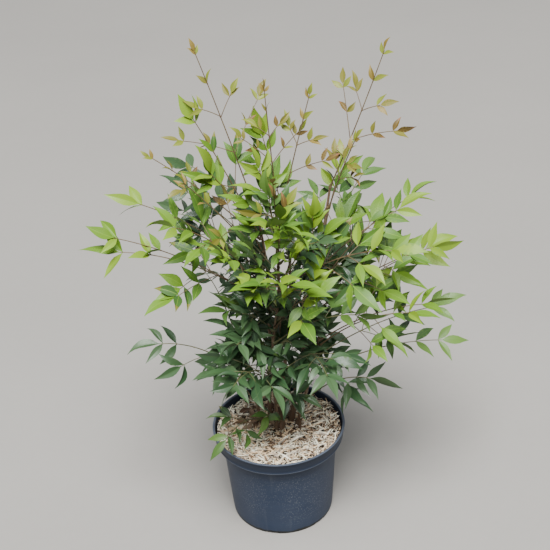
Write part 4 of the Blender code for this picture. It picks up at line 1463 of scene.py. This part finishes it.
def stub_lines():
    """Cut stubs of old canes and knobs of the root crown, low between the canes."""
    dice = random.Random(f"{SEED} stubs")
    lines = []
    for _ in range(STUBS):
        angle = dice.uniform(0, math.tau)
        away = dice.uniform(*STUB_REACH)
        x = CLUMP_MIDDLE[0] + away * math.cos(angle)
        y = CLUMP_MIDDLE[1] + away * math.sin(angle)
        foot = Vector((x, y, fill_height(0) - STUB_DEPTH))
        lean = Vector((dice.uniform(-0.4, 0.4), dice.uniform(-0.4, 0.4), 1)).normalized()
        height = dice.uniform(*STUB_HEIGHT)
        thick = dice.uniform(*STUB_THICKNESS)
        line = [(foot, thick * 1.3)]
        for step in range(1, STUB_STEPS + 1):
            wobble = Vector((dice.uniform(-1, 1), dice.uniform(-1, 1), 0)) * 0.0006
            point = foot + lean * height * step / STUB_STEPS + wobble
            line.append((point, thick * between(1.15, 0.8, step / STUB_STEPS)))
        line.append((line[-1][0] + lean * 0.0004, thick * 0.45))
        lines.append(line)
    return lines


def sheath_lines():
    """Dry leaf bases that clasp the canes and stand off a little at their tips."""
    lines = []
    for cane in CANES:
        dice = random.Random(f"{SEED} sheath {cane.name}")
        path = cane_path(cane)
        for index in range(SHEATHS_PER_CANE):
            share = between(*SHEATH_PLACES, index / SHEATHS_PER_CANE) * dice.uniform(0.9, 1.1)
            point, forward = along(path, share)
            angle = math.radians(GOLDEN_ANGLE * index + dice.uniform(-30, 30))
            outward = square_to(forward, Vector((math.cos(angle), math.sin(angle), 0)))
            radius = cane_radius(cane, share) * CANE_SLIMNESS
            length = dice.uniform(*SHEATH_LENGTH)
            stand = dice.uniform(*SHEATH_STAND_OFF)
            line = []
            for step in range(SHEATH_STEPS + 1):
                part = step / SHEATH_STEPS
                away = radius * 0.55 + stand * part**2
                size = radius * 0.72 * (1 - part) ** 0.6 + 0.00025
                line.append((point + forward * length * part + outward * away, size))
            lines.append(line)
    return lines


# %% Bark
def cane_bark():
    """Brown bark with darker furrows, grey scurf and a tan bloom on the dry bases."""
    tree = Finish("cane_bark")
    fibres = tree.noise(900.0, 4.0, 0.65, over=(1, 1, 0.08))
    patches = tree.noise(95.0, over=(1, 1, 0.35))
    dark = tree.blend(fibres, colour(0.040, 0.022, 0.011), colour(0.135, 0.078, 0.040))
    bark = tree.blend(tree.spread(patches, 0.50, 0.72) * 0.75, dark, colour(0.25, 0.185, 0.115))
    relief = tree.relief(fibres, 0.6, 0.0007)
    return tree.feed(Base_Color=bark, Roughness=0.60 + patches * 0.30, Normal=relief)


def make_canes():
    lines = [cane_line(cane) for cane in CANES] + stub_lines() + sheath_lines()
    canes = tubes(
        "canes", lines, Sides=CANE_SIDES, Relief=0.30, Grain=620.0, Stretch=0.10, Finish=cane_bark()
    )
    return smoothed(canes, CANE_CREASE)


finished(make_canes(), "cane_bark", *[cane.name for cane in CANES])

# %% [markdown]
# ## Stalks
#
# The stalk of a spray clasps its cane with a broad foot, thins along its length and swells at each joint
# where side stalks part. High in the crown the stalks are reddish brown, and low down they are olive.

# %% Stalk lines
STALK_SIDES = 7
JOINT_SWELL = 0.55
JOINT_REACH = 0.0022
FOOT_SWELL = 1.5
FOOT_REACH = 0.010
SIDE_STALK_STEPS = 5
CLASP_STEPS = 200
# Skin: its darker and its paler colour, and the tints of the sprays that have it.
STALK_SKINS = {
    "red": (colour(0.062, 0.034, 0.018), colour(0.125, 0.088, 0.036), ("bronze", "lime")),
    "olive": (colour(0.055, 0.064, 0.022), colour(0.115, 0.105, 0.042), ("green", "deep")),
}


def stalk_line(stalk, joints, clasp=None):
    """Points and thickness along a stalk. Joints are shares of it, and clasp is the cane's middle."""
    length = path_length(stalk.path)
    steps = PATH_STEPS if len(stalk.path) > PATH_STEPS else SIDE_STALK_STEPS
    shares = {step / steps for step in range(steps + 1)}
    for joint in joints:
        shares.update(joint + shift * JOINT_REACH / length for shift in (-1, -0.4, 0.4, 1))
    line = []
    if clasp is not None:
        line.append((clasp, stalk.foot_radius * (1 + FOOT_SWELL)))
    for share in sorted(share for share in shares if 0 <= share <= 1):
        size = between(stalk.foot_radius, stalk.tip_radius, share)
        nearest = min((abs(share - joint) * length for joint in joints), default=1.0)
        size *= 1 + JOINT_SWELL * max(0.0, 1 - nearest / JOINT_REACH)
        if clasp is not None:
            size *= 1 + FOOT_SWELL * max(0.0, 1 - share * length / FOOT_REACH)
        line.append((smooth_along(stalk.path, share), size))
    return line


def spray_lines(spray):
    """The main stalk from the middle of its cane, and the side stalks."""
    (main, _), *sides = stalks_of[spray.name]
    path = cane_path(CANE_OF[spray.cane])
    middles = [along(path, step / CLASP_STEPS)[0] for step in range(CLASP_STEPS + 1)]
    clasp = min(middles, key=lambda middle: (middle - main.path[0]).length)
    joints = [pair_place(spray, pair) for pair in range(spray.pairs)]
    return [stalk_line(main, joints, clasp)] + [stalk_line(stalk, ()) for stalk, _ in sides]


def stalk_skin(name, low, high):
    tree = Finish(f"stalk_{name}", Roughness=0.45)
    clouds = tree.spread(tree.noise(60.0), 0.3, 0.7)
    return tree.feed(Base_Color=tree.blend(clouds, low, high))


for name, (low, high, tints) in STALK_SKINS.items():
    lines = []
    for spray in all_sprays:
        if stalks_of[spray.name] and spray.tint in tints:
            lines += spray_lines(spray)
    skin = stalk_skin(name, low, high)
    stalks = tubes(
        f"stalks_{name}", lines, Sides=STALK_SIDES, Relief=0.12, Grain=700.0, Stretch=1.0, Finish=skin
    )
    finished(stalks, "leaves")

# %% [markdown]
# ## Leaflets
#
# A leaflet is a narrow, pointed blade: widest a little below its middle, folded along a pale midrib,
# arched, and drawn out into a fine tip. Six patterns differ in fold, arch, twist and wave, so that no
# two neighbours look alike. Each is a closed blade with a paler, duller underside.

# %% Leaflet patterns
TOP, RIB, UNDERSIDE, TIP = 0, 1, 2, 3
# Station along the blade, and half its width there.
BLADE_OUTLINE = (
    (0.00, 0.035),
    (0.05, 0.060),
    (0.14, 0.240),
    (0.27, 0.430),
    (0.42, 0.500),
    (0.58, 0.430),
    (0.74, 0.270),
    (0.88, 0.110),
    (1.00, 0.0),
)
RIB_HALF_WIDTH = 0.020
BLADE_THICKNESS = 0.010
TIP_FROM = 0.80
DROOP_FROM = 0.55
# fold, arch, droop of the tip, twist in degrees, wave, sideways curve
BLADE_SHAPES = (
    (0.30, 0.050, 0.04, 0, 0.00, 0.00),
    (0.55, 0.045, 0.10, 16, 0.00, 0.04),
    (0.15, 0.075, 0.05, -24, 0.05, -0.03),
    (0.75, 0.060, 0.14, 10, 0.00, -0.07),
    (0.40, 0.040, -0.04, -14, 0.06, 0.05),
    (0.10, 0.065, 0.08, 34, 0.05, 0.03),
)
# A row of corners runs over the top from edge to edge, and the last one is the underside's keel.
KEEL = 6
BLADE_STRIPS = (TOP, TOP, RIB, TOP, TOP, UNDERSIDE, UNDERSIDE)


def blade_kind(index):
    """One unit long along X, one unit wide along Y, with its upper side to +Z."""
    fold, arch, droop, twist, wave, curve = BLADE_SHAPES[index]
    points, faces, parts, rows = [], [], [], []
    for share, half in BLADE_OUTLINE:
        spine = 4 * arch * share * (1 - share) - droop * max(0.0, share - DROOP_FROM) ** 2 * 4
        middle = curve * math.sin(math.pi * share) * 2
        ripple = wave * math.sin(share * 15)
        angle = math.radians(twist) * share
        rib = min(RIB_HALF_WIDTH, half * 0.5)
        columns = (-half, -(half + rib) / 2, -rib, rib, (half + rib) / 2, half, 0.0)
        first = len(points)
        for column, across in enumerate(columns if half else (0.0,)):
            lift = fold * LEAFLET_WIDTH * abs(across) * (1 - 0.55 * abs(across))
            lift += ripple * LEAFLET_WIDTH * abs(across) * (1 if across > 0 else -1)
            if column == KEEL:
                lift = -BLADE_THICKNESS * (0.4 + half)
            flat = across * LEAFLET_WIDTH
            y = flat * math.cos(angle) - lift * math.sin(angle)
            z = flat * math.sin(angle) + lift * math.cos(angle)
            points.append((share, middle + y / LEAFLET_WIDTH, spine + z))
        rows.append([first + column * bool(half) for column in range(len(columns))])
    for station, (low, high) in enumerate(zip(rows, rows[1:])):
        past = BLADE_OUTLINE[station + 1][0] > TIP_FROM
        for left, part in enumerate(BLADE_STRIPS):
            right = (left + 1) % len(BLADE_STRIPS)
            corners = (low[left], high[left], high[right], low[right])
            faces.append(tuple(dict.fromkeys(corners))[::-1])
            parts.append(TIP if past and part == TOP else part)
    faces.append(tuple(rows[0]))
    parts.append(RIB)
    blade = faced_outward(mesh_object(f"blade_kind_{index}", points, faces))
    store(blade, "part", "INT", parts, "FACE")
    return blade


blade_kinds = kinds_collection("blade_kinds", [blade_kind(index) for index in range(len(BLADE_SHAPES))])


# %% The rule that sets leaflets
SHADES = ("first", "second", "third", "fourth")


def leaflet_rule():
    """A leaflet on each point, by the point's own turn, size and pattern, in the shade it was dealt."""
    labels = " ".join(SHADES)
    tree, given = new_rule("set_leaflets", Collection="Kinds", Material=f"Rib Underside Tip {labels}")

    def same(name, number):
        sockets = {2: stored(tree, name, "INT"), 3: number}
        return tree.node("FunctionNodeCompare", {"data_type": "INT", "operation": "EQUAL"}, sockets)

    leaves = set_patterns(
        tree,
        given["Geometry"],
        given["Kinds"],
        index=stored(tree, "kind", "INT"),
        rotation=stored(tree, "turn", "QUATERNION"),
        scale=stored(tree, "size", "FLOAT_VECTOR"),
    )
    chosen = {shade: same("shade", index) for index, shade in enumerate(SHADES)}
    chosen["Rib"] = same("part", RIB)
    chosen["Underside"] = same("part", UNDERSIDE)
    chosen["Tip"] = tree.node("FunctionNodeBooleanMath", {}, {0: same("part", TIP), 1: same("shade", 0)})
    for label, selection in chosen.items():
        finish = given[label]
        leaves = tree.geometry("SetMaterial", Geometry=leaves, Selection=selection, Material=finish)
    return close_rule(tree, leaves)


rule_for_leaflets = leaflet_rule()

# %% [markdown]
# ## The colours of the leaves
#
# Each tint of spray has four near shades, dealt out leaflet by leaflet, darker near the cane as painted
# shade of the crown's inside and otherwise with some chance, a paler midrib and a dull underside. Colours
# that have a place are plain base colours, one material for each. Fine relief and an uneven gloss come
# from noise, as a leaf's waxy skin is never even.

# %% Leaf finishes
# Tint: its shades from the inside of the crown outward, darker inside as painted shade, then midrib,
# underside and tip.
LEAF_TINTS = {
    "deep": (
        ((0.014, 0.033, 0.013), (0.019, 0.048, 0.017), (0.028, 0.065, 0.022), (0.041, 0.082, 0.032)),
        ((0.030, 0.063, 0.016), (0.040, 0.076, 0.025), (0.022, 0.043, 0.007)),
    ),
    "green": (
        ((0.022, 0.054, 0.015), (0.034, 0.080, 0.018), (0.050, 0.110, 0.019), (0.074, 0.144, 0.023)),
        ((0.062, 0.122, 0.021), (0.068, 0.124, 0.028), (0.072, 0.072, 0.010)),
    ),
    "lime": (
        ((0.033, 0.084, 0.013), (0.055, 0.127, 0.011), (0.082, 0.167, 0.008), (0.130, 0.213, 0.010)),
        ((0.114, 0.205, 0.016), (0.100, 0.177, 0.025), (0.114, 0.096, 0.013)),
    ),
    "bronze": (
        ((0.092, 0.059, 0.012), (0.112, 0.110, 0.013), (0.128, 0.160, 0.013), (0.150, 0.108, 0.018)),
        ((0.193, 0.134, 0.030), (0.168, 0.126, 0.034), (0.134, 0.050, 0.017)),
    ),
    "dry": (
        ((0.120, 0.070, 0.040), (0.170, 0.105, 0.062), (0.230, 0.160, 0.105), (0.090, 0.050, 0.030)),
        ((0.276, 0.192, 0.126), (0.204, 0.126, 0.0744), (0.090, 0.050, 0.030)),
    ),
}
# Tint: roughness of its upper side, midrib, underside and tip.
LEAF_DULLNESS = {
    "deep": (0.42, 0.47, 0.64, 0.42),
    "green": (0.46, 0.51, 0.68, 0.46),
    "lime": (0.52, 0.57, 0.74, 0.52),
    "bronze": (0.52, 0.57, 0.74, 0.52),
    "dry": (0.80, 0.80, 0.85, 0.85),
}


def leaf_skin(name, tint, roughness):
    tree = Finish(f"leaf_{name}", Base_Color=colour(*tint), Specular_IOR_Level=0.36)
    veins = tree.noise(420.0)
    uneven = roughness - 0.08 + veins * 0.16
    return tree.feed(Roughness=uneven, Normal=tree.relief(veins, 0.35, 0.0005))


def leaf_finishes(tint):
    """A finish for each shade and each part of a leaflet, under the names of the rule's inputs."""
    shades, others = LEAF_TINTS[tint]
    top, *dullness = LEAF_DULLNESS[tint]
    labels = SHADES + ("Rib", "Underside", "Tip")
    rows = zip(labels, shades + others, [top] * len(SHADES) + dullness)
    return {label: leaf_skin(f"{tint}_{label.lower()}", value, dull) for label, value, dull in rows}


# %% Leaflets of each tint
# Tint: length of its leaflets to the rule's, width to length, and degrees by which their tips rise.
LEAF_HABITS = {
    "deep": (1.0, (0.27, 0.35), (-8, 20)),
    "green": (1.0, (0.28, 0.37), (0, 26)),
    "lime": (1.0, (0.30, 0.41), (4, 36)),
    "bronze": (0.85, (0.30, 0.41), (4, 32)),
}
END_RISE = 0.4  # of that, for the leaflet at a stalk's end
DARK_SHARE = 0.32  # of a spray's reach, whose leaflets get the first and darkest shade, as painted shade of the crown's inside
SHADE_CHANCE = 1.2  # shades
ROLL_SPREAD = 26
STEEPEST = math.radians(70)
BLADE_CREASE = 62


def raised(leaflet, degrees):
    """The leaflet with its tip turned up about its root, but never past STEEPEST."""
    flat = Vector((leaflet.ahead.x, leaflet.ahead.y, 0))
    room = STEEPEST - math.atan2(leaflet.ahead.z, flat.length)
    turn = Quaternion(leaflet.ahead.cross(Z_AXIS), min(math.radians(degrees), max(room, 0.0)))
    return leaflet._replace(ahead=turn @ leaflet.ahead, face=turn @ leaflet.face)


def leaflet_turn(ahead, face, dice):
    """The turn that lays a pattern along its leaflet, with its upper side to the light."""
    face = Quaternion(ahead, math.radians(dice.gauss(0, 1) * ROLL_SPREAD)) @ face
    return Matrix((ahead, face.cross(ahead), face)).transposed().to_quaternion()


def painted_depth_shade(spray, leaflet, dice):
    """Painted shade: darker near the cane, where the crown shades the leaflets, and lighter towards the
    spray's end, with some chance.
    """
    cane_point, _ = along(cane_path(CANE_OF[spray.cane]), spray.up)
    reach = (Vector(spray.end) - cane_point).length
    share = (leaflet.root - cane_point).length / reach
    shade = len(SHADES) * (share - DARK_SHARE) + dice.uniform(-SHADE_CHANCE, SHADE_CHANCE)
    return min(len(SHADES) - 1, max(0, round(shade)))


def leaves_from(name, tint, rows):
    """Leaves from rows of root, turn, size, pattern and shade: bare points, and the rule on them."""
    roots, turns, sizes, kinds, shades = zip(*rows)
    made = mesh_object(name, roots)
    store(made, "turn", "QUATERNION", list(itertools.chain(*turns)))
    store(made, "size", "FLOAT_VECTOR", list(itertools.chain(*sizes)))
    store(made, "kind", "INT", kinds)
    store(made, "shade", "INT", shades)
    print(name, "leaflets", len(roots))
    leaves = grow(made, rule_for_leaflets, Kinds=blade_kinds, **leaf_finishes(tint))
    return smoothed(leaves, BLADE_CREASE)


def make_leaves(tint):
    dice = random.Random(f"{SEED} shades {tint}")
    size, widths, rises = LEAF_HABITS[tint]
    rows = []
    for spray in all_sprays:
        leaflets = [leaflet for stalk, _ in stalks_of[spray.name] for leaflet in stalk.leaflets]
        for leaflet in leaflets if worn_tint(spray) == tint else ():
            leaflet = raised(leaflet, dice.uniform(*rises) * (1 if leaflet.side else END_RISE))
            length = leaflet.length * size
            width = length * dice.uniform(*widths)
            turn = leaflet_turn(leaflet.ahead, leaflet.face, dice)
            kind = dice.randrange(len(BLADE_SHAPES))
            shade = painted_depth_shade(spray, leaflet, dice)
            rows.append((leaflet.root, turn, (length, width, length), kind, shade))
    return leaves_from(f"leaves_{tint}", tint, rows)


for tint in LEAF_HABITS:
    nodes = [spray.name for spray in modelled_sprays if worn_tint(spray) == tint]
    finished(make_leaves(tint), "leaves", *nodes)

# %% Dry leaflets on the bed
DRY_LEAFLETS = 15
DRY_PLACE = (-0.030, 0.022)  # middle of the drift, in metres
DRY_SPREAD = (0.022, 0.016)
DRY_LENGTH = (0.024, 0.042)
DRY_WIDTH = (0.26, 0.40)  # of the length
DRY_CURL = 1.6


def make_dry_leaflets():
    """Fallen leaflets, curled and brown, in a drift behind the canes' left."""
    dice = random.Random(f"{SEED} dry")
    rows = []
    for index in range(DRY_LEAFLETS):
        x, y = (dice.gauss(middle, spread) for middle, spread in zip(DRY_PLACE, DRY_SPREAD))
        heading = dice.uniform(0, math.tau)
        ahead = Vector((math.cos(heading), math.sin(heading), dice.uniform(-0.10, 0.25))).normalized()
        length = dice.uniform(*DRY_LENGTH)
        start = Vector((x, y, bed_height(x, y) + CHIP_HEAP)) - ahead * length / 2
        turn = leaflet_turn(ahead, square_to(ahead, Z_AXIS), dice)
        size = (length, length * dice.uniform(*DRY_WIDTH), length * DRY_CURL)
        rows.append((start, turn, size, dice.randrange(len(BLADE_SHAPES)), index % len(SHADES)))
    return leaves_from("dry_leaflets", "dry", rows)


finished(make_dry_leaflets(), "leaves")
remove_kinds(blade_kinds)
